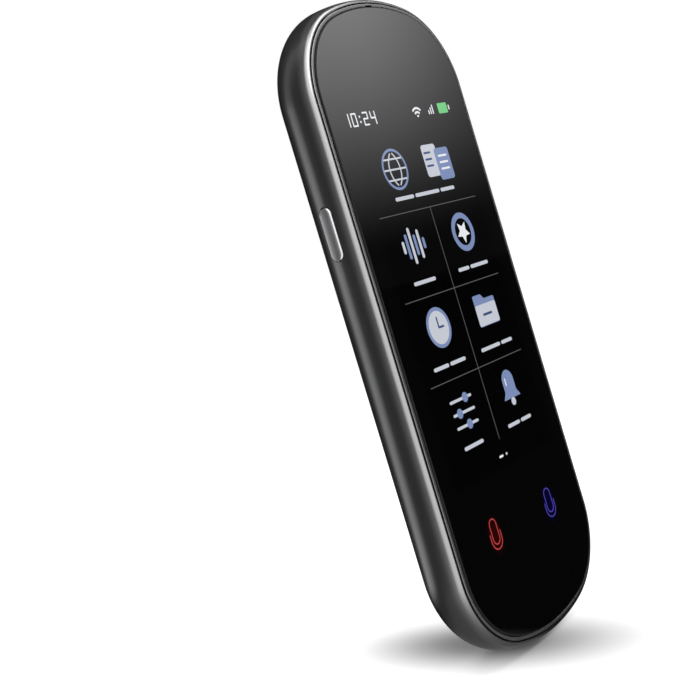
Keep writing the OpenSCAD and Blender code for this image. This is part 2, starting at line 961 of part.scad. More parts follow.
module battery_tape() {
    strip_w = 5;
    color([0.95, 0.9, 0.7])
        stand()
            for (side = [-1, 1])
                translate([side * (cell_w / 2 - strip_w / 2 - 1), cell_top - cell_l / 2, cell_front])
                    linear_extrude(tape_t)
                        square([strip_w, cell_l - 6], center = true);
}

module battery_pad() {
    color(black)
        stand()
            translate([0, cell_top - cell_l / 2, wall])
                linear_extrude(cell_z - wall)
                    rounded([cell_w - 6, cell_l - 8], 2);
}

// ---- Speaker ----

module speaker_frame() {
    color(black)
        stand()
            translate([0, speaker_y, speaker_z])
                difference() {
                    linear_extrude(speaker_d)
                        rounded([speaker_w, speaker_h], 1.5);
                    translate([0, 0, -1])
                        linear_extrude(speaker_d - 0.5 + 1)
                            rounded([speaker_w - 2, speaker_h - 2], 1);
                }
}

// A stadium dome with a rolled surround
module speaker_diaphragm() {
    bowl_r = speaker_h / 2 - 1;
    straight = speaker_w - speaker_h;
    rim_h = 0.3;
    dome = [
        [0, 0.55], [bowl_r - 1.8, 0.55], [bowl_r - 1.3, rim_h + 0.2], [bowl_r - 0.7, rim_h],
        [bowl_r - 0.05, rim_h + 0.25], [bowl_r - 0.05, rim_h + 0.4], [bowl_r - 0.7, rim_h + 0.15],
        [bowl_r - 1.3, rim_h + 0.35], [bowl_r - 1.8, 0.7], [0, 0.7]
    ];
    color([0.2, 0.2, 0.22])
        stand()
            translate([0, speaker_y, speaker_z + 0.1]) {
                for (side = [0, 1])
                    mirror([side, 0, 0])
                        translate([straight / 2, 0, 0])
                            rotate([0, 0, -90])
                                rotate_extrude(angle = 180)
                                    polygon(dome);
                for (side = [0, 1])
                    mirror([0, side, 0])
                        rotate([90, 0, 90])
                            translate([0, 0, -straight / 2])
                                linear_extrude(straight)
                                    polygon(dome);
            }
}

module speaker_magnet() {
    low = speaker_z + 1.4;
    color(steel_colour)
        stand()
            translate([0, speaker_y, low])
                linear_extrude(speaker_back - 0.5 - low)
                    rounded([speaker_w - 4, speaker_h - 4], 1);
}

module speaker_gasket() {
    color(black)
        stand()
            translate([0, speaker_y, wall + mesh_t])
                difference() {
                    linear_extrude(gasket_t)
                        rounded([speaker_w - 0.2, speaker_h - 0.2], 1.4);
                    translate([0, 0, -1])
                        linear_extrude(gasket_t + 2)
                            rounded([speaker_w - 1.8, speaker_h - 1.8], 1);
                }
}

module speaker_mesh() {
    color([0.15, 0.15, 0.16])
        stand()
            translate([0, speaker_y, wall])
                linear_extrude(mesh_t)
                    rounded([speaker_w - 0.2, speaker_h - 0.2], 1.4);
}

// Bent leaves that carry the sound signal from the board to the speaker
module speaker_springs() {
    leaf_t = 0.2;
    rise = board_z - speaker_back;
    color([0.85, 0.68, 0.3])
        stand()
            for (x = [-5, 5])
                strip(x - 0.6, x + 0.6)
                    translate([speaker_y, speaker_back])
                        polygon([
                            [-1.2, 0], [1.2, 0], [1.2, leaf_t], [-0.9, leaf_t],
                            [-0.9, rise - leaf_t], [1.2, rise - leaf_t], [1.2, rise], [-1.2, rise]
                        ]);
}

// ---- Camera ----

module camera_bezel() {
    cone_r = camera_r - 0.3;
    color([0.12, 0.12, 0.13])
        stand()
            translate([0, camera_y, 0])
                difference() {
                    union() {
                        cylinder(r = camera_r, h = wall);
                        translate([0, 0, wall])
                            cylinder(r = flange_r, h = flange_t);
                    }
                    translate([0, 0, -0.01])
                        cylinder(r1 = cone_r, r2 = window_r - 0.15, h = window_z + 0.02);
                    translate([0, 0, window_z])
                        cylinder(r = window_r + fit / 2, h = camera_z);
                }
}

module camera_window() {
    color([0.1, 0.1, 0.25, 0.6])
        stand()
            rod([0, camera_y], window_r, window_z, window_z + window_t);
}

module camera_housing() {
    half = camera_w / 2;
    color(black)
        stand()
            difference() {
                block([-half, camera_y - half, camera_z], [half, camera_y + half, sensor_z]);
                rod([0, camera_y], barrel_r + running_fit, 0, barrel_z + barrel_l + 0.1);
                rod([0, camera_y], barrel_r - 0.5, 0, sensor_z + 1);
            }
}

// The threaded tube that holds the lenses and slides to focus
module lens_barrel() {
    color(black)
        stand()
            translate([0, camera_y, barrel_z])
                difference() {
                    cylinder(r = barrel_r, h = barrel_l);
                    translate([0, 0, -0.01])
                        cylinder(r1 = barrel_r - 0.25, r2 = barrel_r - 0.7, h = 0.6);
                    translate([0, 0, 0.5])
                        cylinder(r = barrel_r - 0.6, h = barrel_l);
                }
}

module camera_lens() {
    lens_r = barrel_r - 0.6;
    bulge_r = 3.2;
    sag = bulge_r - sqrt(pow(bulge_r, 2) - pow(lens_r, 2));
    color([0.2, 0.2, 0.5, 0.7])
        stand()
            translate([0, camera_y, barrel_z + 0.75])
                intersection() {
                    translate([0, 0, bulge_r - sag])
                        sphere(bulge_r);
                    translate([0, 0, -sag])
                        cylinder(r = lens_r, h = sag + 0.9);
                }
}

module camera_sensor() {
    half = camera_w / 2;
    color(board_colour)
        stand()
            block([-half, camera_y - half, sensor_z], [half, camera_y + half,
                                                       sensor_z + sensor_t]);
}

module camera_flex() {
    color(flex_colour)
        stand()
            block([camera_w / 2, camera_y - 1.8, sensor_z + sensor_t - flex_t],
                  [camera_socket[0] + 2, camera_y + 1.8, sensor_z + sensor_t]);
}

module camera_foam() {
    half = camera_w / 2 - 0.8;
    color(black)
        stand()
            block([-half, camera_y - half, sensor_z + sensor_t], [half, camera_y + half, board_z]);
}

// ---- Side key ----

// The key's half section: distance from the pill's spine, and height out of the side
function key_section() = [
    [0, -key_stop], [key_r, -key_stop], [key_r, key_proud - 0.45],
    [key_r - 0.35, key_proud - 0.1], [key_r - 0.8, key_proud - 0.02], [0, key_proud]
];

module power_key() {
    spine = key_l - 2 * key_r;
    color([0.35, 0.35, 0.36])
        stand()
            at_key() {
                for (turn = [0, 180])
                    rotate([0, 0, turn]) {
                        translate([0, spine / 2, 0])
                            rotate_extrude(angle = 180)
                                polygon(key_section());
                        translate([0, spine / 2, 0])
                            rotate([90, 0, 0])
                                linear_extrude(spine)
                                    polygon(key_section());
                    }
                translate([0, 0, -key_stop - key_flange_t])
                    linear_extrude(key_flange_t)
                        pill(key_r, key_l + 2 * key_wing);
                translate([0, 0, -key_stop - key_flange_t - nub_l])
                    cylinder(r = 0.9, h = nub_l);
            }
}

module switch_plunger() {
    top = key_stop + key_flange_t + nub_l;
    color([0.8, 0.8, 0.75])
        stand()
            at_key()
                translate([0, 0, -top - 0.7])
                    cylinder(r = plunger_r, h = 0.7);
}

module key_switch() {
    color(steel_colour)
        stand()
            at_key()
                difference() {
                    translate([-switch_h / 2, -switch_l / 2, -switch_back])
                        cube([switch_h, switch_l, switch_d]);
                    translate([0, 0, -switch_face - 0.95])
                        cylinder(r = plunger_r + running_fit, h = 2);
                }
}

// An angle on the main board's edge that takes the push of the key
module key_bracket() {
    face = -half_w + switch_back + flex_t;
    color(steel_colour)
        stand() {
            block([face, key_y - 4, board_z - 0.5], [face + bracket_t, key_y + 4, key_z + 1.3]);
            block([face, key_y - 4, board_z - 0.5], [-board_half + 3, key_y + 4, board_z]);
        }
}

module key_flex() {
    face = -half_w + switch_back;
    color(flex_colour)
        stand() {
            block([face, key_y - 2, board_z - 0.5 - flex_t], [face + flex_t, key_y + 2,
                                                              key_z + 1.2]);
            block([face, key_y - 2, board_z - 0.5 - flex_t],
                  [-board_half + 4, key_y + 2, board_z - 0.5]);
        }
}

// ---- Small parts ----

// An S of film on the inside of the back
module antenna_flex() {
    arm = 3;
    gap = 4;
    half = 12;
    low = board_low + 2;
    color(flex_colour)
        stand()
            difference() {
                block([-half, low, wall], [half, low + 3 * arm + 2 * gap, wall + flex_t]);
                block([arm - half, low + arm, 0], [half + 1, low + arm + gap, wall + 1]);
                block([-half - 1, low + 2 * arm + gap, 0],
                      [half - arm, low + 2 * arm + 2 * gap, wall + 1]);
            }
}

module screw(length) {
    translate([0, 0, -head_h])
        cylinder(r = head_r, h = head_h);
    cylinder(r = screw_r, h = length);
}

module board_screws() {
    color(steel_colour)
        stand() {
            in_pairs(board_screw_places)
                translate([0, 0, board_z])
                    screw(plate_front - 0.4 - board_z);
            in_pairs(bottom_screw_places)
                translate([0, 0, bottom_board_z])
                    screw(plate_front - 0.4 - bottom_board_z);
        }
}

module plate_screws() {
    color(steel_colour)
        stand()
            for (side = [-1, 1], y = plate_screw_places)
                translate([side * plate_screw_x, y, plate_z])
                    screw(plate_t + 1);
}

rear_shell();
front_frame();
cover_glass();
glass_adhesive();
display_panel();
display_flex();
steel_plate();
touch_key_flex();
touch_key_leds();
touch_key_light_guides();
main_board();
flex_sockets();
shield_can();
processor();
memory_chip();
power_chip();
top_microphone();
top_microphone_boot();
bottom_board();
bottom_flex();
bottom_microphone();
bottom_microphone_boot();
usb_shell();
usb_tongue();
usb_contacts();
battery_cell();
battery_board();
battery_leads();
battery_tape();
battery_pad();
speaker_frame();
speaker_diaphragm();
speaker_magnet();
speaker_gasket();
speaker_mesh();
speaker_springs();
camera_bezel();
camera_window();
camera_housing();
lens_barrel();
camera_lens();
camera_sensor();
camera_flex();
camera_foam();
power_key();
key_switch();
switch_plunger();
key_bracket();
key_flex();
antenna_flex();
board_screws();
plate_screws();
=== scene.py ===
# %% [markdown]
# # A pocket voice translator
#
# The real object is a slim moulded slab: a painted rear shell with rounded sides and
# crowned ends, a thin bezel, and one sheet of black glass over the whole front. Its inner
# parts come ready measured. This lesson makes the outer pieces again as smooth surfaces,
# and gives every piece its finish. All lengths below are written in millimetres and
# multiplied by `mm`, because Blender works in metres.

# %% the measured parts
import json
from math import cos, degrees, pi, radians, sin

import bmesh
import bpy
from mathutils import Matrix, Vector


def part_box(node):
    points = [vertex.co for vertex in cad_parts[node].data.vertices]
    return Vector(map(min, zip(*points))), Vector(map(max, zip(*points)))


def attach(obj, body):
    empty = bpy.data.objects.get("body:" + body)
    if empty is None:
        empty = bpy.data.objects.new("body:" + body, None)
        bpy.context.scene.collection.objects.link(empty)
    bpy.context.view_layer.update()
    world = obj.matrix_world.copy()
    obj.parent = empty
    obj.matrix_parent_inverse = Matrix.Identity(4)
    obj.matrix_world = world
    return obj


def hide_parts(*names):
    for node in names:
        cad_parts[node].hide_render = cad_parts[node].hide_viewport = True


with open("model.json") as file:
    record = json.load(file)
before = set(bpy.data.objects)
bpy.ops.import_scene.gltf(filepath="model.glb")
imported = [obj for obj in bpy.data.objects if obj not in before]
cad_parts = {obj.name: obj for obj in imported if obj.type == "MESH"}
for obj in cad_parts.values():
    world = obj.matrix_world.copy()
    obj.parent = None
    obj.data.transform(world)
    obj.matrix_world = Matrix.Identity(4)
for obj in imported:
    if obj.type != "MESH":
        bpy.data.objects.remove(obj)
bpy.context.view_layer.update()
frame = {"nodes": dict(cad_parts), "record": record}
mm = 0.001

# %% [markdown]
# The camera stands left of the device and a little above its middle, and is rolled, so
# that the device leans in the picture. Its place is found from three turns and one
# distance: the world is turned and moved in front of a camera that looks down its own -Z.

# %% the camera
side_turn, nod, lean = 51.14, 1.97, 16.89
pivot = Vector((0, 0, -13.3)) * mm
stand_off = Vector((23.67, 3.98, -249.95)) * mm

lens = bpy.data.cameras.new("studio_camera")
lens.lens, lens.sensor_width = 69.35, 36
lens.clip_start, lens.clip_end = 0.01, 20
camera = bpy.data.objects.new("studio_camera", lens)
bpy.context.scene.collection.objects.link(camera)
world_to_lens = (Matrix.Translation(stand_off)
                 @ Matrix.Rotation(radians(lean), 4, "Z")
                 @ Matrix.Rotation(radians(nod), 4, "X")
                 @ Matrix.Rotation(radians(side_turn), 4, "Y")
                 @ Matrix.Translation(pivot)
                 @ Matrix.Rotation(radians(-90), 4, "X"))
camera.matrix_world = world_to_lens.inverted()
bpy.context.scene.camera = camera
bpy.context.scene.view_settings.view_transform = "Standard"
print("camera at", [round(c / mm) for c in camera.matrix_world.translation], "mm")

# %% [markdown]
# Every outer piece of this object is one section carried round a path, so the first
# helper is a pen. It starts as a single vertex and leaves a chain of edges behind it:
# `extrude_vert_indiv` for a straight line, and `spin` on the last vertex for an arc. The
# section lies in the XY plane, with x across the device and y through its thickness.

# %% a pen for sections
def only(kind, geometry):
    return [g for g in geometry if isinstance(g, kind)]


class Pen:
    def __init__(self, mesh, x, y):
        self.mesh = mesh
        self.first = self.tip = mesh.verts.new((x * mm, y * mm, 0))

    def line(self, x, y):
        new = bmesh.ops.extrude_vert_indiv(self.mesh, verts=[self.tip])["verts"][0]
        new.co = (x * mm, y * mm, 0)
        self.tip = new
        return self

    def arc(self, radius, start, end, step):
        """Goes on round an arc in steps of some degrees. Angles are the surface's
        direction, and a hollow has a negative radius."""
        spoke = Vector((cos(radians(start)), sin(radians(start)), 0)) * radius * mm
        turned = bmesh.ops.spin(self.mesh, geom=[self.tip], cent=self.tip.co - spoke,
                                axis=(0, 0, 1), angle=radians(end - start),
                                steps=max(1, round(abs(end - start) / step)))
        self.tip = only(bmesh.types.BMVert, turned["geom_last"])[0]
        return self

    def path(self, steps):
        """Draws a list of steps: two numbers are a line's end, four are an arc."""
        for numbers in steps:
            (self.line if len(numbers) == 2 else self.arc)(*numbers)
        return self

    def close(self):
        self.mesh.edges.new((self.tip, self.first))


# %% [markdown]
# A bmesh is a mesh in the making. To become a piece it is welded, its faces are turned
# outwards, and it is shaded smooth but for its real edges, which stay sharp. A closed
# shape has two faces at every edge, so the count of open edges is printed as a check.

# %% from a bmesh to a piece
weld = 1e-7                         # points closer than this, in metres, become one
real_edge = 30                      # degrees between two faces that show as an edge


def round_off(mesh, crease):
    for face in mesh.faces:
        face.smooth = True
    for edge in mesh.edges:
        edge.smooth = len(edge.link_faces) == 2 and edge.calc_face_angle() < radians(crease)


def open_edges(data):
    uses = [0] * len(data.edges)
    for polygon in data.polygons:
        for corner in polygon.loop_indices:
            uses[data.loops[corner].edge_index] += 1
    return sum(1 for use in uses if use != 2)


def finish_mesh(name, mesh, crease=real_edge, merge=True):
    if merge:
        bmesh.ops.remove_doubles(mesh, verts=mesh.verts, dist=weld)
    bmesh.ops.recalc_face_normals(mesh, faces=mesh.faces)
    round_off(mesh, crease)
    data = bpy.data.meshes.new(name)
    mesh.to_mesh(data)
    mesh.free()
    piece = bpy.data.objects.new(name, data)
    bpy.context.scene.collection.objects.link(piece)
    print(f"{name}: {len(data.polygons)} faces, {open_edges(data)} open edges")
    return piece


def part_of(piece, body, node):
    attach(piece, body)
    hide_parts(node)
    return piece


# %% [markdown]
# The outline seen from the front is a straight side, a corner arc and a wide crown arc
# over the end, which meet without a kink. One quarter is swept: pushed along the side,
# spun round the corner's centre, and spun round the crown's centre. Two mirrors make the
# whole ring, and flat loops that are left open are filled.

# %% carrying a section round the outline
low, high = (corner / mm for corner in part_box("rear_shell"))
half_w, half_l, front = 25.5, high.z, 13.8
corner_r, crown_r = 17.8, 45.3
corner_x = half_w - corner_r
corner_z = 44.85
crown_z = half_l - crown_r
crown_half = degrees(0.283794)      # where the two arcs share a direction, 7-24-25
side_cuts, corner_cuts, crown_cuts = 6, 36, 14


def carry_round(mesh):
    section = mesh.verts[:] + mesh.edges[:]
    run = bmesh.ops.spin(mesh, geom=section, cent=(0, 0, 0), axis=(0, 1, 0), angle=0,
                         dvec=(0, 0, corner_z * mm / side_cuts), steps=side_cuts)
    for x, z, turn, cuts in ((corner_x, corner_z, 90 - crown_half, corner_cuts),
                             (0, crown_z, crown_half, crown_cuts)):
        run = bmesh.ops.spin(mesh, geom=run["geom_last"], cent=(x * mm, 0, z * mm),
                             axis=(0, -1, 0), angle=radians(turn), steps=cuts)
    for axis in "XZ":
        bmesh.ops.mirror(mesh, geom=mesh.verts[:] + mesh.edges[:] + mesh.faces[:],
                         axis=axis, merge_dist=10 * weld)
    bmesh.ops.remove_doubles(mesh, verts=mesh.verts, dist=weld)
    rims = [e for e in mesh.edges if e.is_boundary]
    if rims:
        bmesh.ops.edgeloop_fill(mesh, edges=rims)


print("outline", 2 * half_w, "by", round(2 * half_l, 2), "mm, side straight to", corner_z)

# %% [markdown]
# Round and pill-shaped pieces come from two smaller helpers. `turned` spins a section
# full circle, as a lathe does. `pill` spins it half a circle, pulls the open half along
# the spine, and mirrors the result. `facing` then says which way the piece looks, and
# `lay` adds it to a bigger bmesh. `plug` puts them together for cutters and small blocks.

# %% lathe and pill
RIGHT, BACK, UP = (1, 0, 0), (0, 1, 0), (0, 0, 1)
LEFT, FORWARD, DOWN = (-1, 0, 0), (0, -1, 0), (0, 0, -1)


def facing(out, along, at):
    """A local +Y that looks out, a local +Z along the spine, and a place in mm."""
    out, along = Vector(out), Vector(along)
    turn = Matrix((out.cross(along), out, along)).transposed().to_4x4()
    return Matrix.Translation(Vector(at) * mm) @ turn


def turned(mesh, steps):
    section = mesh.verts[:] + mesh.edges[:]
    bmesh.ops.spin(mesh, geom=section, cent=(0, 0, 0), axis=(0, 1, 0), angle=2 * pi,
                   steps=steps, use_merge=True)
    bmesh.ops.remove_doubles(mesh, verts=mesh.verts, dist=weld)


def pill(mesh, spine, steps):
    """Stretches the turned section along local Z by a spine that is given in mm."""
    section = mesh.verts[:] + mesh.edges[:]
    bmesh.ops.spin(mesh, geom=section, cent=(0, 0, 0), axis=(0, -1, 0), angle=pi, steps=steps)
    bmesh.ops.remove_doubles(mesh, verts=mesh.verts, dist=weld)
    bmesh.ops.translate(mesh, verts=mesh.verts, vec=(0, 0, spine / 2 * mm))
    rim = [e for e in mesh.edges if e.is_boundary]
    pulled = bmesh.ops.extrude_edge_only(mesh, edges=rim)["geom"]
    for vert in only(bmesh.types.BMVert, pulled):
        vert.co.z = 0
    bmesh.ops.mirror(mesh, geom=mesh.verts[:] + mesh.edges[:] + mesh.faces[:],
                     axis="Z", merge_dist=weld)


def lay(layer, part, place):
    bmesh.ops.recalc_face_normals(part, faces=part.faces)
    bmesh.ops.transform(part, matrix=place, verts=part.verts)
    data = bpy.data.meshes.new("part")
    part.to_mesh(data)
    part.free()
    layer.from_mesh(data)
    bpy.data.meshes.remove(data)


def plug(layer, radius, bottom, top, spine=0, flare=0, place=Matrix()):
    """A closed round or pill-shaped block, whose top may flare out."""
    part = bmesh.new()
    pen = Pen(part, 0, bottom).line(radius, bottom)
    if flare:
        pen.line(radius, top - 2 * flare).line(radius + flare, top - flare)
    pen.line(radius + flare, top).line(0, top)
    if spine:
        pill(part, spine, 24)
    else:
        turned(part, 40)
    lay(layer, part, place)


# %% [markdown]
# The rear shell is one deep moulding. Its section starts on the flat back, dips through a
# small hollow, swells over the shoulder and the full side, and closes with a tight front
# rim that catches the light. The pen then steps down into the bezel's seat and runs back
# along the inside, one wall further in, so the shell is a real hollow moulding.

# %% the rear shell
wall, ridge_in = 1.5, 9.312         # the ridge starts this far in from the side
hollow_r, shoulder_r, side_r, waist_r, rim_r = 2.8, 10, 7, 14.506, 1.3
dip, swell, full, waist, tuck = 40, 70, 36.87, -12, -60     # where arc meets arc
seat_in, seat_y, inner_y = 1.15, -12.0, -9.428

mesh = bmesh.new()
shell_pen = Pen(mesh, half_w - ridge_in - 0.4, 0).line(half_w - ridge_in, 0)
shell_pen.path([(hollow_r, 90, dip, 3), (-hollow_r, dip, swell, 3),
                (shoulder_r, swell, full, 1.6), (side_r, full, 0, 1.6),
                (waist_r, 0, waist, 1.5), (rim_r, waist, tuck, 4)])
rim_top = -shell_pen.tip.co.y / mm
shell_pen.path([(half_w - seat_in, -rim_top), (half_w - seat_in, seat_y),
                (half_w - wall, seat_y), (half_w - wall, inner_y),
                (side_r - wall, 0, full, 9), (shoulder_r - wall, full, swell, 8),
                (-hollow_r - wall, swell, dip, 10), (hollow_r - wall, dip, 90, 12)])
carry_round(mesh)
rear_shell = finish_mesh("rear_shell_moulding", mesh)
print("front rim is", round(rim_top, 2), "mm in front of the flat back")

# %% [markdown]
# The openings are cut with one Boolean whose cutters are all separate plugs: the camera's
# ring, twelve sound holes on two arcs, the key's slot, the charging port and two
# microphone holes. Small flares at the mouths give the moulded edge its thin highlight.
# A second Boolean gives the key's flange its room behind the wall, because that cutter
# overlaps the slot's. The modifier's result is written back, so none stays live.

# %% openings in the shell
def cut_openings(piece, cutters):
    tool = finish_mesh("cutter", cutters)
    cut = piece.modifiers.new("openings", "BOOLEAN")
    cut.operation, cut.solver, cut.object = "DIFFERENCE", "EXACT", tool
    cut_piece = piece.evaluated_get(bpy.context.evaluated_depsgraph_get())
    result = bmesh.new()
    result.from_mesh(cut_piece.to_mesh())
    cut_piece.to_mesh_clear()
    piece.modifiers.clear()
    bmesh.ops.remove_doubles(result, verts=result.verts, dist=weld)
    round_off(result, real_edge)
    result.to_mesh(piece.data)
    result.free()
    bpy.data.meshes.remove(tool.data)
    print(f"{piece.name} with openings: {len(piece.data.polygons)} faces, "
          f"{open_edges(piece.data)} open edges")


camera_z, key_z, key_depth, port_depth = 50.2, 21.55, 8.7, 8.4
key_spine, flange_spine, key_slot_r = 7.2, 8.8, 1.52
port_spine, port_r = 5.68, 1.73
sound_rows = ((13.6, 5), (16.85, 7))            # radius of the row, and its holes
sound_centre, sound_pitch = 53.3, 2.2
through = -wall - 1
at_camera = facing(BACK, UP, (0, 0, camera_z))
key_place = facing(LEFT, UP, (-half_w, -key_depth, key_z))

cutters = bmesh.new()
plug(cutters, 3.8, through, 0.2, place=at_camera)
for row_r, count in sound_rows:
    for k in range(count):
        turn = (k - (count - 1) / 2) * sound_pitch / row_r
        spot = (row_r * sin(turn), 0, sound_centre - row_r * cos(turn))
        plug(cutters, 0.72, through, 0.1, flare=0.09, place=facing(BACK, UP, spot))
plug(cutters, key_slot_r, through, 1.5, spine=key_spine, place=key_place)
plug(cutters, port_r, through, 1.5, spine=port_spine,
     place=facing(DOWN, RIGHT, (0, -port_depth, -half_l)))
for microphone_x in (-5.75, -7.0):
    plug(cutters, 0.4, through, 1.5,
         place=facing(DOWN, RIGHT, (microphone_x, -port_depth, -half_l)))
cut_openings(rear_shell, cutters)
cutters = bmesh.new()
plug(cutters, key_slot_r, -4.05, -1.55, spine=flange_spine, place=key_place)
cut_openings(rear_shell, cutters)
part_of(rear_shell, "handset", "rear_shell")

# %% [markdown]
# The bezel is a thin frame that carries the glass on an inner ledge. Only its lip shows,
# so the lip gets round edges, and the skirt that drops into the shell stays plain. The
# slot over the glass is an opening for sound, cut as the shell's are.

# %% the front frame
lip_out, lip_in, ledge_in = half_w - 1.45, half_w - 2.1, half_w - 5.2
skirt_out, skirt_in = half_w - 1.6, half_w - 2.6
lip_top, lip_round = -13.5, 0.1
ledge_top, ledge_under, skirt_top, skirt_end = -12.5, -10.9, -12, -10.4

mesh = bmesh.new()
frame_pen = Pen(mesh, skirt_out, skirt_end)
frame_pen.path([(skirt_out, skirt_top), (lip_out, skirt_top),
                (lip_out, lip_top + lip_round), (lip_round, 0, -90, 15),
                (lip_in + lip_round, lip_top), (lip_round, -90, -180, 15),
                (lip_in, ledge_top), (ledge_in, ledge_top), (ledge_in, ledge_under),
                (skirt_in, ledge_under), (skirt_in, skirt_end)]).close()
carry_round(mesh)
front_frame = finish_mesh("front_bezel", mesh)
cutters = bmesh.new()
plug(cutters, 0.275, -4, 1, spine=1.65,
     place=facing(FORWARD, RIGHT, (0, lip_top, half_l - 2.075)))
cut_openings(front_frame, cutters)
part_of(front_frame, "handset", "front_frame")

# %% [markdown]
# The cover glass is a flat sheet with a rounded edge, as ground glass for a touchscreen
# is. The pen draws only that edge, and the two flat faces are the filled loops.

# %% the cover glass
glass_out, glass_edge, glass_back, glass_chamfer = half_w - 2.2, 0.2, -12.7, 0.12

mesh = bmesh.new()
glass_pen = Pen(mesh, glass_out - glass_edge - 0.3, -front)
glass_pen.path([(glass_out - glass_edge, -front), (glass_edge, -90, 0, 7.5),
                (glass_out, glass_back - glass_chamfer),
                (glass_out - glass_chamfer, glass_back)])
carry_round(mesh)
cover_glass = finish_mesh("cover_glass_sheet", mesh)
part_of(cover_glass, "handset", "cover_glass")

# %% [markdown]
# The side key is a domed pill with a bright cut edge. A pill is the section spun at both
# ends of a short spine. Behind it are the flange that keeps it in the shell, and the nub
# that presses the switch.

# %% the side key
mesh = bmesh.new()
Pen(mesh, 0, 0.4).path([(0.5, 0.385), (0.85, 0.345), (1.12, 0.28), (1.19, 0.25), (1.36, 0.08),
                        (1.4, -0.02), (1.4, -1.5), (0, -1.5)])
pill(mesh, key_spine, 40)
plug(mesh, 1.4, -2.15, -1.55, spine=flange_spine)
plug(mesh, 0.9, -2.55, -2.2)
bmesh.ops.transform(mesh, matrix=key_place, verts=mesh.verts)
side_key = finish_mesh("side_key_cap", mesh, 18)
part_of(side_key, "side_key", "power_key")

# %% [markdown]
# Round parts come off the lathe: the camera's ring with its polished cone, the window,
# the focusing barrel with its stepped mouth, and the front lens. Each is a list of points,
# the distance from the axis and the height over the flat back, and a spin. A section
# that doesn't reach the axis is closed first, and becomes a tube.

# %% the camera
def lathe_piece(name, points, body, node):
    mesh = bmesh.new()
    pen = Pen(mesh, *points[0]).path(points[1:])
    if points[0][0] > 0:
        pen.close()
    turned(mesh, 96)
    bmesh.ops.transform(mesh, matrix=at_camera, verts=mesh.verts)
    return part_of(finish_mesh(name, mesh), body, node)


camera_ring = lathe_piece(
    "camera_ring", [(4.2, -2.1), (4.2, -1.5), (3.75, -1.5), (3.75, -0.1), (0.1, 0, 90, 30),
                    (3.55, 0), (3.47, -0.04), (3.42, -0.1), (2.5, -0.94), (2.42, -1.0),
                    (2.3, -1.0), (2.3, -1.02), (2.62, -1.02), (2.62, -2.1)],
    "handset", "camera_bezel")
camera_window = lathe_piece(
    "camera_window_glass", [(0, -1.0), (2.5, -1.0), (2.6, -1.08), (2.6, -1.6), (0, -1.6)],
    "handset", "camera_window")
lens_barrel = lathe_piece(
    "focus_barrel", [(1.95, -2.2), (2.15, -2.2), (2.2, -2.25), (2.2, -5.4), (1.2, -5.4),
                     (1.2, -3.9), (1.62, -3.9), (1.62, -3.0), (1.5, -2.8), (1.6, -2.7),
                     (1.6, -2.6), (1.75, -2.5), (1.75, -2.4), (1.9, -2.3)],
    "focus_carrier", "lens_barrel")
front_lens = lathe_piece(
    "front_lens", [(0, -2.55), (0.4, -2.575), (0.8, -2.65), (1.15, -2.765), (1.5, -2.95),
                   (1.58, -3.05), (1.58, -3.6), (0, -3.6)],
    "focus_carrier", "camera_lens")

# %% [markdown]
# The lit marks are thin plates let into the glass, a hundredth of a millimetre proud, one
# bmesh for each colour. Printed flat on an image they would blur from near by, so they are
# real shapes. Small helpers lay down bars, discs, arcs and polygons, always as closed
# plates. Where plates overlap, each stands a few thousandths higher than the last.

# %% plates for the screen
plate = 0.03                                    # thickness of a mark
flush, hairline, raised, topmost = 0.01, 0.013, 0.014, 0.018


def on_glass(x, z, proud=flush, turn=0):
    """A place on the glass: local +Y looks out of it, local +Z points right."""
    return facing(FORWARD, RIGHT, (x, -front - proud, z)) @ Matrix.Rotation(radians(turn), 4, "Y")


def bar(layer, x, z, length, width, proud=flush, turn=0):
    plug(layer, width / 2, -plate, 0, spine=max(length - width, 0.01),
         place=on_glass(x, z, proud, turn))


def upright(layer, x, z, length, width, proud=flush):
    bar(layer, x, z, length, width, proud, 90)


def disc(layer, x, z, radius, proud=flush):
    plug(layer, radius, -plate, 0, place=on_glass(x, z, proud))


def band(layer, x, z, outer, inner, start=0, sweep=360, proud=flush):
    """A ring or an arc. Angles run from the right, counter-clockwise as seen."""
    part = bmesh.new()
    Pen(part, inner, -plate).path([(outer, -plate), (outer, 0), (inner, 0)]).close()
    bmesh.ops.rotate(part, verts=part.verts, cent=(0, 0, 0),
                     matrix=Matrix.Rotation(radians(start - 90), 3, "Y"))
    bmesh.ops.spin(part, geom=part.verts[:] + part.edges[:], cent=(0, 0, 0), axis=(0, 1, 0),
                   angle=radians(sweep), steps=max(6, round(sweep / 9)),
                   use_merge=sweep == 360)
    bmesh.ops.remove_doubles(part, verts=part.verts, dist=weld)
    ends = [e for e in part.edges if e.is_boundary]
    if ends:
        bmesh.ops.edgeloop_fill(part, edges=ends)
    lay(layer, part, on_glass(x, z, proud))


def thicken(part):
    deep = bmesh.ops.extrude_face_region(part, geom=part.faces[:] + part.edges[:])["geom"]
    bmesh.ops.translate(part, verts=only(bmesh.types.BMVert, deep), vec=(0, -plate * mm, 0))


def patch(layer, points, rounding, proud=flush):
    """A flat polygon through points that are given as (x, z) on the glass."""
    part = bmesh.new()
    corners = [part.verts.new((z * mm, 0, x * mm)) for x, z in points]
    bmesh.ops.contextual_create(part, geom=corners)
    bmesh.ops.bevel(part, geom=part.verts[:], affect="VERTICES", offset=rounding * mm,
                    offset_type="OFFSET", segments=4, profile=0.5, material=-1)
    thicken(part)
    lay(layer, part, on_glass(0, 0, proud))


def block(layer, x, z, width, height, rounding, proud=flush):
    w, h = width / 2, height / 2
    patch(layer, [(x - w, z - h), (x + w, z - h), (x + w, z + h), (x - w, z + h)],
          rounding, proud)


# %% [markdown]
# Digits are made from seven bars each, as on any bench clock. Beside the clock stand a
# fan of three arcs, three rising bars and a battery, the usual signs of a status line.

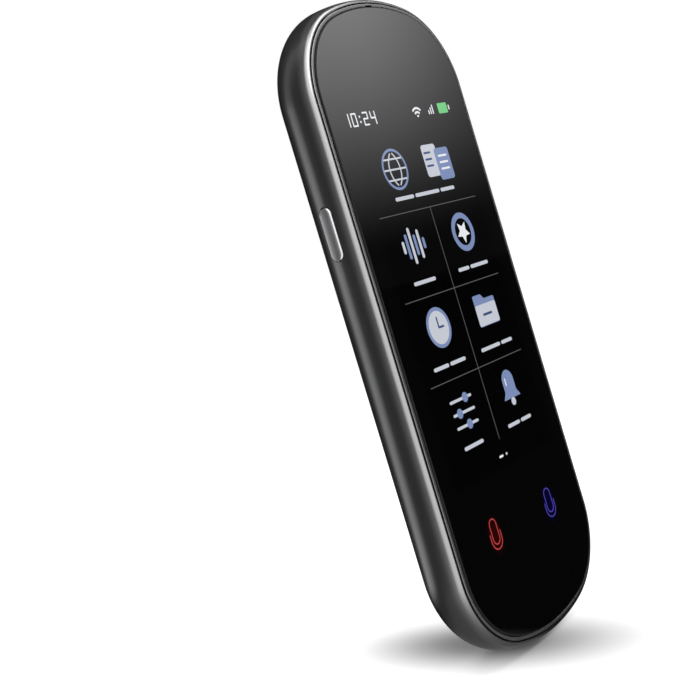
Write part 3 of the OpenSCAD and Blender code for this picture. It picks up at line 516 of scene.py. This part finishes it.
# %% the clock and the status line
white, pale, blue, deep_blue, grey, green = (bmesh.new() for _ in range(6))
SEGMENTS = {"0": "abcdef", "1": "bc", "2": "abged", "4": "fgbc"}
digit_w, digit_h, digit_stroke = 1.15 * 1.15, 2.3, 0.3


def digit(layer, sign, x, z):
    w, h = digit_w / 2, digit_h / 4
    for segment in SEGMENTS[sign]:
        dx, dz = {"a": (0, 2 * h), "d": (0, -2 * h), "g": (0, 0), "b": (w, h),
                  "c": (w, -h), "e": (-w, -h), "f": (-w, h)}[segment]
        if dx:
            upright(layer, x + dx, z + dz, digit_h / 2 + digit_stroke, digit_stroke)
        else:
            bar(layer, x, z + dz, digit_w + digit_stroke, digit_stroke)


clock_z = 40.4
for sign, x in zip("1024", (-17.9, -15.6, -12.0, -9.6)):
    digit(white, sign, x, clock_z)
for dz in (-0.5, 0.5):
    disc(white, -13.8, clock_z + dz, 0.22)

for radius in (0.55, 1.35, 2.15):
    band(white, 5.2, 39.2, radius, max(radius - 0.42, 0.01), 45, 90)
block(green, 14.6, 40.5, 3.4, 2.1, 0.3)
upright(white, 16.95, 40.5, 1.0, 0.4)
for k in range(3):
    upright(white, 9.4 + 0.75 * k, 40.0 + 0.25 * k, 0.9 + 0.5 * k, 0.36)
print("status line at", clock_z, "mm above the middle")

# %% [markdown]
# The menu is a plain one of tiles between thin rules. A name would stand under each sign.
# Short bars of word length take its place, as on a layout sketch.

# %% rules and word bars
left, right = -8.8, 8.8                         # middle of the two columns
label_z = (24.6, 8.6, -7.6, -23.4)
word_gap, word_h = 0.55, 0.72

for z in (21.9, 5.7, -10.4):
    bar(grey, 0, z, 34, 0.16)
upright(grey, 0, -1.4, 46.6, 0.16)
bar(white, -1.1, -27.9, 1.5, 0.45)
disc(white, 0.9, -27.9, 0.25)


def label(x, z, *lengths):
    total = sum(lengths) + word_gap * (len(lengths) - 1)
    at = x - total / 2
    for length in lengths:
        bar(pale, at + length / 2, z, length, word_h)
        at += length + word_gap


label(0, label_z[0], 6.2, 8.4, 5.0)
label(left, label_z[1], 7.4)
label(right, label_z[1], 4.0, 6.6)
label(left, label_z[2], 5.2, 5.4)
label(right, label_z[2], 7.2, 4.2)
label(left, label_z[3], 6.8)
label(right, label_z[3], 4.6, 4.0)

# %% [markdown]
# The signs are everyday ones, put together from the same plates. The wide tile has a
# globe and two sheets with lines, and the row below it sound bars and a star in a ring.
# The star is a circle of ten points whose every second point is pulled in.

# %% signs of the upper rows
stroke = 0.42
globe_x, globe_z = -7.6, 30.2
band(blue, globe_x, globe_z, 4.0, 3.5)
for k in (-1, 0, 1):
    bar(pale, globe_x, globe_z + 2.0 * k, 7.2 - 1.2 * abs(k), 0.34, hairline)
for side in (-1, 1):
    band(pale, globe_x + 2.3 * side, globe_z, 4.2, 3.87, 40 + 90 * side, 100, hairline)
sheet = (5.0, 6.4, 0.7)
block(pale, 5.2, 30.6, *sheet)
block(blue, 9.4, 29.6, *sheet, raised)
for k in range(3):
    bar(deep_blue, 4.4, 32.2 - 1.3 * k, 2.4, stroke, topmost)
    bar(white, 9.4, 31.2 - 1.3 * k, 3.1, stroke, topmost)

sign_z = 15.6
for k, tall in enumerate((2.4, 4.8, 7.0, 4.0, 5.6, 2.2)):
    upright(blue if k % 2 else pale, left + 1.35 * (k - 2.5), sign_z, tall, 0.8)
band(blue, right, sign_z, 3.9, 2.75)
star = bmesh.new()
bmesh.ops.create_circle(star, cap_ends=True, radius=2.3 * mm, segments=10)
for k, vert in enumerate(star.verts):
    vert.co *= 0.48 if k % 2 else 1
bmesh.ops.rotate(star, verts=star.verts, cent=(0, 0, 0),
                 matrix=Matrix.Rotation(radians(-90), 3, "X"))
thicken(star)
lay(white, star, on_glass(right, sign_z, raised, 90))
print("upper signs in", sum(len(ink.faces) for ink in (white, pale, blue, deep_blue)), "faces")

# %% [markdown]
# The lower rows have a clock face with hands, a folder, three sliders and a bell. The
# bell's dome is a disc, its body a polygon a touch higher, so that the two don't flicker.

# %% signs of the lower rows
dial_z = -0.4
disc(pale, left, dial_z, 3.7)
band(blue, left, dial_z, 3.9, 3.2, proud=raised)
upright(deep_blue, left, dial_z + 0.95, 2.3, stroke, topmost)
bar(deep_blue, left + 0.8, dial_z, 2.0, stroke, topmost)
patch(blue, [(5.0, -3.4), (12.6, -3.4), (12.6, 1.9), (8.9, 1.9), (8.1, 2.9), (5.0, 2.9)], 0.4)
block(pale, right, -1.2, 7.6, 4.2, 0.5, raised)
bar(deep_blue, right, -1.2, 3.4, 0.5, topmost)

for z, knob in ((-14.4, 1.6), (-16.9, -1.5), (-19.4, 0.7)):
    bar(pale, left, z, 7.6, 0.55)
    disc(blue, left + knob, z, 0.95, raised)
disc(blue, right, -15.0, 2.1)
patch(blue, [(5.6, -18.6), (12.0, -18.6), (10.9, -17.2), (10.9, -15.0), (6.7, -15.0),
             (6.7, -17.2)], 0.3, flush + 0.0002)
disc(pale, right, -19.3, 0.8, raised)
upright(white, right - 1, -15.2, 1.6, 0.36, topmost)
print("all signs in", sum(len(ink.faces) for ink in (white, pale, blue, deep_blue)), "faces")

# %% [markdown]
# Below the screen the glass has two touch areas, which wear an outlined microphone each,
# red for one speaker and blue for the other. They are marks only: the real object has no
# moving key there. Every colour then becomes one piece that rides on the handset.

# %% the touch marks
def microphone(layer, x, z):
    for side in (-1, 1):
        upright(layer, x + side * 1.14, z + 0.55, 2.7, 0.24)
        upright(layer, x + side * 1.8, z - 0.35, 1.5, 0.24)
    band(layer, x, z + 1.8, 1.26, 1.02, 0, 180)
    band(layer, x, z - 0.7, 1.26, 1.02, 180, 180)
    band(layer, x, z - 1.0, 1.92, 1.68, 180, 180)


red_mark, blue_mark = bmesh.new(), bmesh.new()
microphone(red_mark, -10.6, -40.4)
microphone(blue_mark, 10.6, -41)
marks = {}
for name, layer in (("screen_white", white), ("screen_pale", pale), ("screen_blue", blue),
                    ("screen_deep_blue", deep_blue), ("screen_lines", grey),
                    ("screen_battery_green", green), ("touch_mark_red", red_mark),
                    ("touch_mark_blue", blue_mark)):
    marks[name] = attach(finish_mesh(name, layer, merge=False), "handset")

# %% [markdown]
# Materials come next. A shader is wired by writing sums: `Wire` holds one output of a
# node, and an expression on wires adds the Math nodes that work it out. `Bench` adds any
# other node from its type, its settings and the values of its sockets.

# %% wiring shaders
class Wire:
    def __init__(self, bench, socket):
        self.bench, self.socket = bench, socket

    def maths(self, operation, *others):
        return self.bench.maths(operation, self, *others)

    def __add__(self, other):
        return self.maths("ADD", other)

    def __sub__(self, other):
        return self.maths("SUBTRACT", other)

    def __rsub__(self, other):
        return self.bench.maths("SUBTRACT", other, self)

    def __mul__(self, other):
        return self.maths("MULTIPLY", other)

    def __truediv__(self, other):
        return self.maths("DIVIDE", other)

    __radd__, __rmul__ = __add__, __mul__

    def step(self, low, high):
        """0 below low, 1 above high, and a soft slope between them."""
        return self.bench.node("ShaderNodeMapRange", {"interpolation_type": "SMOOTHSTEP"},
                               {"Value": self, "From Min": low, "From Max": high})

    def window(self, opens, full, fades, shut):
        """1 from full to fades, 0 before opens and after shut."""
        return self.step(opens, full) * (1 - self.step(fades, shut))


class Bench:
    def __init__(self, tree):
        self.tree = tree

    def feed(self, socket, value):
        if isinstance(value, Wire):
            self.tree.links.new(value.socket, socket)
        elif isinstance(value, tuple) and len(value) == 3 and socket.type == "RGBA":
            socket.default_value = (*value, 1)
        else:
            socket.default_value = value

    def node(self, kind, settings={}, inputs={}, output=0):
        node = self.tree.nodes.new(kind)
        for name, value in settings.items():
            if name == "stops":
                stops = node.color_ramp.elements
                for k, (at, colour) in enumerate(value):
                    stop = stops[k] if k < 2 else stops.new(at)
                    stop.position, stop.color = at, (*colour, 1)
            else:
                setattr(node, name, value)
        for name, value in inputs.items():
            self.feed(node.inputs[name], value)
        return Wire(self, node.outputs[output])

    def maths(self, operation, *values):
        return self.node("ShaderNodeMath", {"operation": operation}, dict(enumerate(values)))

    def mix(self, mask, a, b):
        return self.node("ShaderNodeMix", {"data_type": "RGBA"}, {0: mask, 6: a, 7: b}, 2)

    def ray(self, kind):
        return self.node("ShaderNodeLightPath", output=f"Is {kind} Ray")


# %% [markdown]
# A `Finish` is a bench for one material. It works on Object coordinates, turned to
# millimetres first, so that every grain and pitch below is a real size. Its last three
# methods feed what varies most over a surface: colour, roughness and bump.

# %% a finish in millimetres
class Finish(Bench):
    def __init__(self, name, **constants):
        self.material = bpy.data.materials.new(name)
        self.material.use_nodes = True
        super().__init__(self.material.node_tree)
        self.surface = self.tree.nodes["Principled BSDF"].inputs
        for socket, value in constants.items():
            self.feed(self.surface[socket.replace("_", " ")], value)
        place = self.node("ShaderNodeTexCoord", output="Object")
        self.place = self.node("ShaderNodeVectorMath", {"operation": "SCALE"},
                               {0: place, "Scale": 1 / mm})
        self.x, self.y, self.z = (self.node("ShaderNodeSeparateXYZ", {}, {0: self.place}, k)
                                  for k in range(3))

    def moved(self, centre=(0, 0, 0), stretch=(1, 1, 1)):
        return self.node("ShaderNodeMapping", {}, {
            "Vector": self.place, "Location": tuple(-c * s for c, s in zip(centre, stretch)),
            "Scale": stretch})

    def distance(self, centre=(0, 0, 0), stretch=(1, 1, 1)):
        """Millimetres from a centre, with each direction counted by its stretch."""
        return self.node("ShaderNodeVectorMath", {"operation": "LENGTH"},
                         {0: self.moved(centre, stretch)}, "Value")

    def noise(self, grain, detail=2, place=None):
        """Values round 0.5 with spots of the given size in mm."""
        return self.node("ShaderNodeTexNoise", {}, {
            "Vector": place or self.place, "Scale": 1 / grain, "Detail": detail}, "Fac")

    def cells(self, size):
        return self.node("ShaderNodeTexVoronoi", {}, {"Vector": self.place, "Scale": 1 / size},
                         "Distance")

    def waves(self, wire, pitch):
        """A sine from 0 to 1 along a coordinate."""
        return (wire * (2 * pi / pitch)).maths("SINE") * 0.5 + 0.5

    def tint(self, mask, a, b):
        self.feed(self.surface["Base Color"], self.mix(mask, a, b))
        return self

    def rough(self, wire):
        self.feed(self.surface["Roughness"], wire)
        return self

    def relief(self, height, depth, strength):
        """A bump whose full height is depth, in mm."""
        self.feed(self.surface["Normal"], self.node(
            "ShaderNodeBump", {}, {"Height": height, "Strength": strength,
                                   "Distance": depth * mm}))
        return self


def dress(piece, *finishes):
    """Gives a piece its finishes, of which the first covers it."""
    piece.data.materials.clear()
    for finish in finishes:
        piece.data.materials.append(finish.material)


# %% [markdown]
# The shell's paint is a satin dark grey with very fine metal flake. The flake is a small
# noise in the colour and the roughness, and the spray leaves a faint orange peel. Two
# masks on the depth change it: the front rim is burnished and nearly metal, and the flat
# back gets painted light, a lighter tint of the same paint where light falls on the back.
# The bezel's seat inside the rim gets painted shade: its faces, which look inwards, get a
# near-black second material that stands in for the shadow in the gap.

# %% paint of the shell
paint = Finish("satin_dark_grey_paint", IOR=1.5, Coat_Weight=0.25, Coat_Roughness=0.15)
flake = paint.noise(0.06, 1)
front_rim = (paint.y * -1).step(10.8, 13.1)
# painted light: the flat back takes a lighter tint of the same paint, as if more light fell on it
painted_back_light_mask = paint.y.step(-1.9, -0.6)
dark_side = paint.mix(flake, (0.0098, 0.0100, 0.0103), (0.0185, 0.0188, 0.0195))
painted_lighter_back = paint.mix(flake, (0.036, 0.0363, 0.037), (0.056, 0.0565, 0.0575))
burnished = paint.mix(flake, (0.11, 0.11, 0.112), (0.13, 0.13, 0.133))
paint.feed(paint.surface["Base Color"],
           paint.mix(front_rim, paint.mix(painted_back_light_mask, dark_side, painted_lighter_back), burnished))
paint.feed(paint.surface["Metallic"], 0.2 + 0.75 * front_rim)
paint.rough(0.30 + 0.06 * paint.noise(0.09, 2) + 0.03 * paint.noise(9, 2))
paint.relief(paint.noise(0.35, 3), 0.004, 0.25)
# painted shade: a near-black that stands in for the shadow in the gap round the bezel
shade = Finish("painted_shade_of_the_bezel_gap", IOR=1.4, Specular_IOR_Level=0.1)
shade.tint(shade.noise(0.2, 2), (0.002, 0.002, 0.002), (0.006, 0.006, 0.006))
shade.rough(0.7 + 0.1 * shade.noise(0.15, 2))
dress(rear_shell, paint, shade)
# the seat's faces, which look inwards, get the painted gap shade
for face in rear_shell.data.polygons:
    spot, out = face.center / mm, face.normal
    beyond = max(abs(spot.z) - corner_z, 0) * (1 if spot.z > 0 else -1)
    inward = out.x * spot.x + out.z * beyond < 0
    face.material_index = int(spot.y < -9 and abs(out.y) < 0.5 and inward)
print("black seat faces:", sum(face.material_index for face in rear_shell.data.polygons))

# %% [markdown]
# The bezel's faces that look forward are satin metal, and its walls beside the glass get
# the seat's painted shade, a near-black that stands in for the shadow in the gap. The cover
# glass is black because the ink behind it is, a little blacker where the display lies, with
# faint smears in its polish. Round the touch areas the ink lets a weak glow through. The
# glass's ground edge is inked too, and matt.

# %% bezel and cover glass
bezel = Finish("satin_grey_bezel", Metallic=0.9, IOR=1.5)
bezel.tint(bezel.noise(0.08, 2), (0.085, 0.085, 0.086), (0.12, 0.12, 0.122))
bezel.rough(0.40 + 0.08 * bezel.noise(0.12, 2))
dress(front_frame, bezel, shade)
# the bezel's walls, which don't look forward, get the painted gap shade too
for face in front_frame.data.polygons:
    face.material_index = int(face.normal.y > -0.3)

glass = Finish("black_cover_glass", IOR=1.5, Emission_Strength=1.0)
in_view = ((1 - glass.x.maths("ABSOLUTE").step(18.3, 18.5))
           * glass.z.window(-30.1, -29.9, 43.4, 43.6))
glass.tint(in_view, (0.0014, 0.0014, 0.0015), (0.0006, 0.0006, 0.0009))
glass.rough(0.025 + 0.03 * glass.noise(14, 3).step(0.45, 0.8))
halo = (0.0, 0.0, 0.0)
for spot, colour in (((-10.6, 0, -40.6), (0.022, 0.0, 0.0)),
                     ((10.6, 0, -41.2), (0.0, 0.0, 0.022))):
    away = glass.distance(spot, (1.35, 0, 0.9))
    halo = glass.mix(1 - away.step(1.2, 3.9), halo, colour)
glass.feed(glass.surface["Emission Color"], halo)

inked = Finish("inked_glass_edge", IOR=1.3, Specular_IOR_Level=0.05)
inked.tint(inked.noise(0.2, 2), (0.018, 0.018, 0.018), (0.034, 0.034, 0.035))
inked.rough(0.5 + 0.2 * inked.noise(0.15, 2))
dress(cover_glass, glass, inked)
for face in cover_glass.data.polygons:
    face.material_index = int(abs(face.normal.y) < 0.99)
print("ground edge faces:", sum(face.material_index for face in cover_glass.data.polygons))

# %% [markdown]
# The key is brushed along its length: the same noise, stretched along Z, in the colour and
# the roughness. After the paint a cutter takes its edge off, which leaves a bright bevel.
# Those faces are found by their slope and by how far they stand out of the side.

# %% finish of the side key
key_paint = Finish("satin_key_metal", Metallic=0.7, IOR=1.5)
brushed = key_paint.noise(0.05, 2, key_paint.moved(stretch=(1, 1, 0.04)))
key_paint.tint(brushed, (0.14, 0.14, 0.144), (0.22, 0.22, 0.226))
key_paint.rough(0.30 + 0.1 * brushed)
cut_edge = Finish("bright_cut_edge", Metallic=1.0)
cut_edge.tint(cut_edge.noise(0.1, 2), (0.19, 0.19, 0.195), (0.26, 0.26, 0.266))
cut_edge.rough(0.16 + 0.08 * cut_edge.noise(0.2, 2))
dress(side_key, key_paint, cut_edge)
for face in side_key.data.polygons:
    slope, stands_out = -face.normal.x, -face.center.x / mm - half_w
    face.material_index = int(0.6 < slope < 0.78 and 0.07 < stands_out < 0.26)
print("bright edge faces:", sum(face.material_index for face in side_key.data.polygons))

# %% [markdown]
# Camera parts are turned, so their finishes go by the distance from the axis. The ring is
# polished black with fine turning marks and a bright outer edge. The window is nearly
# clear. The front lens's blue and purple tint is its coat, but the ramp's rings from the
# middle to the rim are painted reflections of the lens elements behind it, and its bright
# middle is a painted glint. The barrel behind is ribbed to swallow stray light.

# %% finishes of the camera
ring_paint = Finish("polished_black_metal", Metallic=0.6, IOR=1.5, Coat_Weight=0.6,
                    Coat_Roughness=0.05)
ring_r = ring_paint.distance((0, 0, camera_z))
outer_edge = ring_r.step(3.4, 3.5)
ring_paint.tint(outer_edge, (0.012, 0.012, 0.014), (0.26, 0.26, 0.27))
ring_paint.rough(0.16 + 0.05 * ring_paint.waves(ring_r, 0.12) + 0.1 * outer_edge)
dress(camera_ring, ring_paint)

pane = Finish("camera_window_pane", IOR=1.5, Alpha=0.22, Coat_Weight=1.0, Coat_Roughness=0.02)
pane.tint(pane.noise(1.5, 2), (0.004, 0.004, 0.01), (0.01, 0.008, 0.02))
pane.rough(0.03 + 0.02 * pane.noise(0.8, 2))
dress(camera_window, pane)

lens_coat_and_painted_glints = Finish("coated_front_lens_painted_glints", Metallic=0.85, IOR=1.6, Coat_Weight=1.0,
                 Coat_Roughness=0.02)
lens_r = lens_coat_and_painted_glints.distance((0, -2.9, camera_z), (1, 0.2, 1))
# painted reflections: the ramp's rings stand for the lens elements behind, its bright middle for
# a glint
coat_tint_and_painted_rings = lens_coat_and_painted_glints.node("ShaderNodeValToRGB", {"stops": [
    (0.0, (0.35, 0.42, 0.95)), (0.16, (0.05, 0.06, 0.35)), (0.34, (0.12, 0.05, 0.42)),
    (0.5, (0.02, 0.02, 0.10)), (0.62, (0.10, 0.12, 0.55)), (0.8, (0.015, 0.012, 0.05)),
    (1.0, (0.004, 0.004, 0.008))]}, {0: lens_r / 1.6}, "Color")
lens_coat_and_painted_glints.feed(lens_coat_and_painted_glints.surface["Base Color"], coat_tint_and_painted_rings)
lens_coat_and_painted_glints.rough(0.06 + 0.05 * lens_coat_and_painted_glints.noise(0.3, 2))
dress(front_lens, lens_coat_and_painted_glints)

barrel = Finish("ribbed_black_barrel", IOR=1.45)
barrel_r = barrel.distance((0, 0, camera_z), (1, 0, 1))
barrel.tint(barrel.noise(0.1, 2), (0.012, 0.012, 0.013), (0.03, 0.03, 0.032))
barrel.rough(0.35 + 0.2 * barrel.waves(barrel_r, 0.09))
dress(lens_barrel, barrel)
print("finishes so far:", len(bpy.data.materials))

# %% [markdown]
# A lit mark shines and has hardly a colour of its own, so its base is nearly black and
# its emission carries the hue. The display is made of fine dots, a ninth of a millimetre
# apart here: two waves multiplied, which only show from very near.

# %% lit marks
LIT = {"screen_white": (0.86, 0.88, 0.92), "screen_pale": (0.60, 0.63, 0.70),
       "screen_blue": (0.21, 0.28, 0.50), "screen_deep_blue": (0.05, 0.08, 0.22),
       "screen_lines": (0.11, 0.11, 0.115), "screen_battery_green": (0.16, 0.62, 0.22),
       "touch_mark_red": (0.52, 0.055, 0.055), "touch_mark_blue": (0.075, 0.055, 0.42)}
dot_pitch = 0.11


def dots(finish):
    return finish.waves(finish.x, dot_pitch) * finish.waves(finish.z, dot_pitch)


for name, colour in LIT.items():
    lit = Finish(name + "_light", IOR=1.5, Base_Color=(0.004, 0.004, 0.004),
                 Emission_Strength=1.0)
    between, on_dot = tuple(c * 0.86 for c in colour), tuple(min(c * 1.08, 1) for c in colour)
    lit.feed(lit.surface["Emission Color"], lit.mix(dots(lit), between, on_dot))
    lit.rough(0.03 + 0.02 * lit.noise(3, 2))
    dress(marks[name], lit)
print("lit colours:", len(LIT))

# %% [markdown]
# The inner pieces keep their measured shapes and get a finish by their slot. Metals are
# drawn or rolled, so their noise is stretched along one direction, and boards show their
# copper routes under the green mask as a fine brick pattern in the bump.

# %% metals and boards
def metal(name, dark, light, along=(1, 1, 0.05), rough=0.28):
    f = Finish(name, Metallic=1.0)
    drawn = f.noise(0.08, 3, f.moved(stretch=along))
    return f.tint(drawn, dark, light).rough(rough + 0.14 * drawn).relief(drawn, 0.002, 0.3)


steel = metal("drawn_steel", (0.42, 0.42, 0.44), (0.62, 0.62, 0.64))
gold = metal("gold_plating", (0.62, 0.42, 0.14), (0.84, 0.62, 0.28), (1, 1, 0.2), 0.2)
port_steel = metal("port_steel", (0.40, 0.40, 0.42), (0.58, 0.58, 0.60), (0.05, 1, 1), 0.22)

board = Finish("solder_mask", IOR=1.5, Coat_Weight=0.5, Coat_Roughness=0.15)
route = board.node("ShaderNodeTexBrick", {"offset": 0.37, "squash": 1.0}, {
    "Vector": board.place, "Scale": 1.1, "Mortar Size": 0.05, "Mortar Smooth": 0.1}, "Fac")
board.tint(route, (0.008, 0.085, 0.045), (0.03, 0.19, 0.10))
board.rough(0.30 + 0.1 * board.noise(0.3, 2)).relief(route, 0.02, 0.4)

film = Finish("amber_film", IOR=1.6, Coat_Weight=0.4, Coat_Roughness=0.1)
tracks = film.waves(film.x + film.z, 0.5).step(0.55, 0.7)
film.tint(tracks, (0.36, 0.16, 0.03), (0.62, 0.33, 0.10))
film.rough(0.28 + 0.1 * film.noise(0.4, 2)).relief(tracks, 0.01, 0.3)
print("finishes so far:", len(bpy.data.materials))

# %% [markdown]
# The battery's foil is creased, the foam has open pores, and the dust mesh before the
# speaker is woven from two waves that cross. Display, lamp and light guides are glassy.

# %% foil, foam, mesh and clear parts
foil = Finish("pouch_foil", Metallic=0.9)
creases = foil.noise(3.5, 4)
foil.tint(creases, (0.46, 0.47, 0.49), (0.62, 0.63, 0.65))
foil.rough(0.34 + 0.16 * foil.noise(0.4, 3)).relief(creases, 0.08, 0.5)

foam = Finish("open_foam", IOR=1.4)
pores = foam.cells(0.28)
foam.tint(pores, (0.008, 0.008, 0.009), (0.06, 0.06, 0.065))
foam.rough(0.85 + 0.1 * foam.noise(0.3, 2)).relief(pores, 0.1, 0.7)

woven = Finish("woven_dust_mesh", IOR=1.45)
cloth = woven.waves(woven.x, 0.16) * woven.waves(woven.z, 0.16)
woven.tint(cloth, (0.006, 0.006, 0.007), (0.05, 0.05, 0.055)).rough(0.6 + 0.2 * cloth)
woven.relief(cloth, 0.04, 0.7)

panel = Finish("display_glass", IOR=1.5)
panel.tint(dots(panel), (0.006, 0.006, 0.009), (0.02, 0.02, 0.03))
panel.rough(0.08 + 0.05 * panel.noise(2, 2))

lamp_face = Finish("phosphor_face", IOR=1.5)
lamp_face.tint(lamp_face.cells(0.1), (0.75, 0.72, 0.45), (0.9, 0.88, 0.75))
lamp_face.rough(0.35 + 0.1 * lamp_face.noise(0.1, 2))

guide = Finish("clear_guide", IOR=1.49, Transmission_Weight=0.6)
guide.tint(guide.noise(0.5, 2), (0.72, 0.74, 0.8), (0.86, 0.87, 0.9))
guide.rough(0.12 + 0.1 * guide.noise(0.3, 2))
print("finishes so far:", len(bpy.data.materials))

# %% [markdown]
# Moulded plastics and rubbers differ in colour, grain and gloss only, so one helper makes
# them all. A table then gives every measured part the finish of its slot.

# %% plastics, and every part's finish
def plastic(name, dark, light, grain=0.12, rough=0.45):
    f = Finish(name, IOR=1.5)
    f.tint(f.noise(grain, 3), dark, light).rough(rough + 0.1 * f.noise(grain * 2, 2))
    return f.relief(f.noise(grain, 2), 0.006, 0.3)


BY_SLOT = {
    "shell": paint, "bezel": bezel, "cover_glass": glass, "display": panel,
    "camera_ring": ring_paint, "lens_glass": lens_coat_and_painted_glints, "key_metal": key_paint,
    "port_steel": port_steel, "gold_contact": gold, "steel": steel, "circuit_board": board,
    "flex": film, "battery_foil": foil, "foam": foam, "mesh": woven, "led": lamp_face,
    "light_guide": guide,
    "port_plastic": plastic("moulded_black", (0.012, 0.012, 0.013), (0.035, 0.035, 0.037)),
    "chip": plastic("moulding_resin", (0.012, 0.012, 0.014), (0.04, 0.04, 0.044), 0.07, 0.5),
    "socket_plastic": plastic("cream_nylon", (0.60, 0.56, 0.46), (0.78, 0.74, 0.64), 0.2, 0.4),
    "lead_insulation": plastic("lead_insulation", (0.42, 0.02, 0.015), (0.6, 0.04, 0.03),
                               0.3, 0.35),
    "black_tape": plastic("black_tape", (0.01, 0.01, 0.01), (0.035, 0.035, 0.035), 0.4, 0.7),
    "soft_rubber": plastic("soft_rubber", (0.012, 0.012, 0.012), (0.03, 0.03, 0.03),
                           0.25, 0.75),
    "diaphragm": plastic("formed_film", (0.02, 0.02, 0.022), (0.06, 0.06, 0.065), 0.5, 0.3),
}
slot_of = {s["node"]: s["material_slot"] for s in frame["record"]["subparts"]}
for name, node in frame["nodes"].items():
    dress(node, BY_SLOT[slot_of[name]])
print("dressed", len(frame["nodes"]), "measured nodes in", len(BY_SLOT), "finishes")

# %% [markdown]
# Dark gloss shows what stands round it more than its own colour, so the studio is drawn
# by direction, and only glossy rays see it. The angle runs round the device: 0 is its
# left, 90 its front and -90 its back. A tall bright strip stands behind the left side, and
# a wide wall of light reaches from the left to the front. Both continue on the floor.

# %% directions in the studio
strip_window = (-84, -67, -54, -37)
wall_window = (-24, 28, 76, 100)


def round_the_studio(bench, x, y):
    angle = bench.maths("ARCTAN2", y * -1, x * -1) * (180 / pi)
    return angle, angle.window(*strip_window), angle.window(*wall_window)


def shown_plainly(bench):
    """1 for what the camera sees, also through a clear part."""
    return bench.ray("Camera").maths("MAXIMUM", bench.ray("Transmission"))


# %% [markdown]
# The world is plain white to the camera. In gloss it has the strip and the wall, a weak
# glow right of the front and two lights above it, and it is darkest behind the right
# side. Diffuse light is even, with a little more from behind for the flat back, which
# faces away from all of these.

# %% the world
world = bpy.data.worlds.new("studio")
bpy.context.scene.world = world
world.use_nodes = True
sky = Bench(world.node_tree)
look = sky.node("ShaderNodeTexCoord", output="Generated")
sx, sy, sz = (sky.node("ShaderNodeSeparateXYZ", {}, {0: look}, k) for k in range(3))
angle, strip, wall_light = round_the_studio(sky, sx, sy)
dark_corner = angle.window(-178, -165, -120, -100)
glow = (sz.step(0.016, 0.236) * angle.window(100, 125, 152, 166)
        * (2.85 - 2.3 * angle.step(145, 152.5)))
overhead = sz.window(0.14, 0.34, 0.74, 0.95) * angle.window(45, 80, 118, 132)
top_light = sz.window(0.42, 0.62, 0.8, 0.97) * angle.window(105, 125, 155, 178)
gloss = (0.03 - 0.022 * dark_corner + strip * (3.8 - 2.85 * sz.step(0.06, 0.22))
         + overhead * 8 + top_light * 8
         + wall_light * (3.0 + sz.step(-0.1, 0.25) * 2.2) + glow)
plain, shiny = shown_plainly(sky), sky.ray("Glossy")
even = 0.55 + 0.4 * sy.step(0.6, 0.98)
backdrop = world.node_tree.nodes["Background"].inputs
sky.feed(backdrop["Strength"], plain + (1 - plain) * (shiny * gloss + (1 - shiny) * even))
sky.feed(backdrop["Color"], (1, 1, 1))
print("world wired with", len(world.node_tree.nodes), "nodes")

# %% [markdown]
# The floor is a sheet of white card just under the lower end. To the camera it glows
# white, but in a soft oval round the foot the glow fades and the card is darker: a painted
# shadow, within which the lamps' own shadows also show. In gloss it carries the strip and
# the wall on, and is dark near the foot.

# %% the floor
floor_mesh = bmesh.new()
bmesh.ops.create_grid(floor_mesh, x_segments=1, y_segments=1, size=6)
bmesh.ops.translate(floor_mesh, verts=floor_mesh.verts, vec=(0, 0, low.z * mm - 0.00002))
floor = finish_mesh("studio_floor", floor_mesh)

ground = Finish("studio_floor_white", Roughness=0.9, Emission_Strength=1.0,
                Specular_IOR_Level=0.0)
seen, shiny = shown_plainly(ground), ground.ray("Glossy")
# a painted shadow: the floor's glow fades in this oval round the foot
across, along = ground.x - 0.15 * ground.y + 3.5, 0.4 * ground.y
painted_shadow_oval = (across * across + along * along).maths("SQRT")
glow_outside_painted_shadow = 0.02 + 0.98 * painted_shadow_oval.step(2, 20)
spread = ground.distance(stretch=(1, 1, 0))
angle, strip, wall_light = round_the_studio(ground, ground.x, ground.y)
mirror = (0.01 + 0.2 * angle.window(-60, 0, 60, 95) * (1 - spread.step(60, 160))
          + strip * 2.7 * spread.step(30, 90)
          + wall_light * 4.0 * spread.step(10, 90))
# part of the painted shadow: the camera sees a darker card than bounced light does
ground.feed(ground.surface["Base Color"], (1 - shiny) * (0.42 - 0.22 * seen))
ground.feed(ground.surface["Emission Color"], seen * glow_outside_painted_shadow + shiny * mirror)
dress(floor, ground)

# %% [markdown]
# Two softboxes hang high over the device, one in front and one behind, so that its shadow
# lies on both sides of the foot. They are hidden from the camera and from gloss, which
# has the drawn studio, and only add soft light.

# %% the lamps
def softbox(name, place, power, side=240):
    lamp = bpy.data.lights.new(name, "AREA")
    lamp.shape, lamp.size, lamp.size_y, lamp.energy = "RECTANGLE", side * mm, side * mm, power
    box = bpy.data.objects.new(name, lamp)
    box.location = Vector(place) * mm
    box.rotation_euler = (-box.location).to_track_quat("-Z", "Y").to_euler()
    box.visible_camera = box.visible_glossy = False
    bpy.context.scene.collection.objects.link(box)
    print(name, "is", round(box.location.length / mm), "mm away")


softbox("front_softbox", (-60, -200, 550), 2.6)
softbox("back_softbox", (40, 170, 560), 2.5)
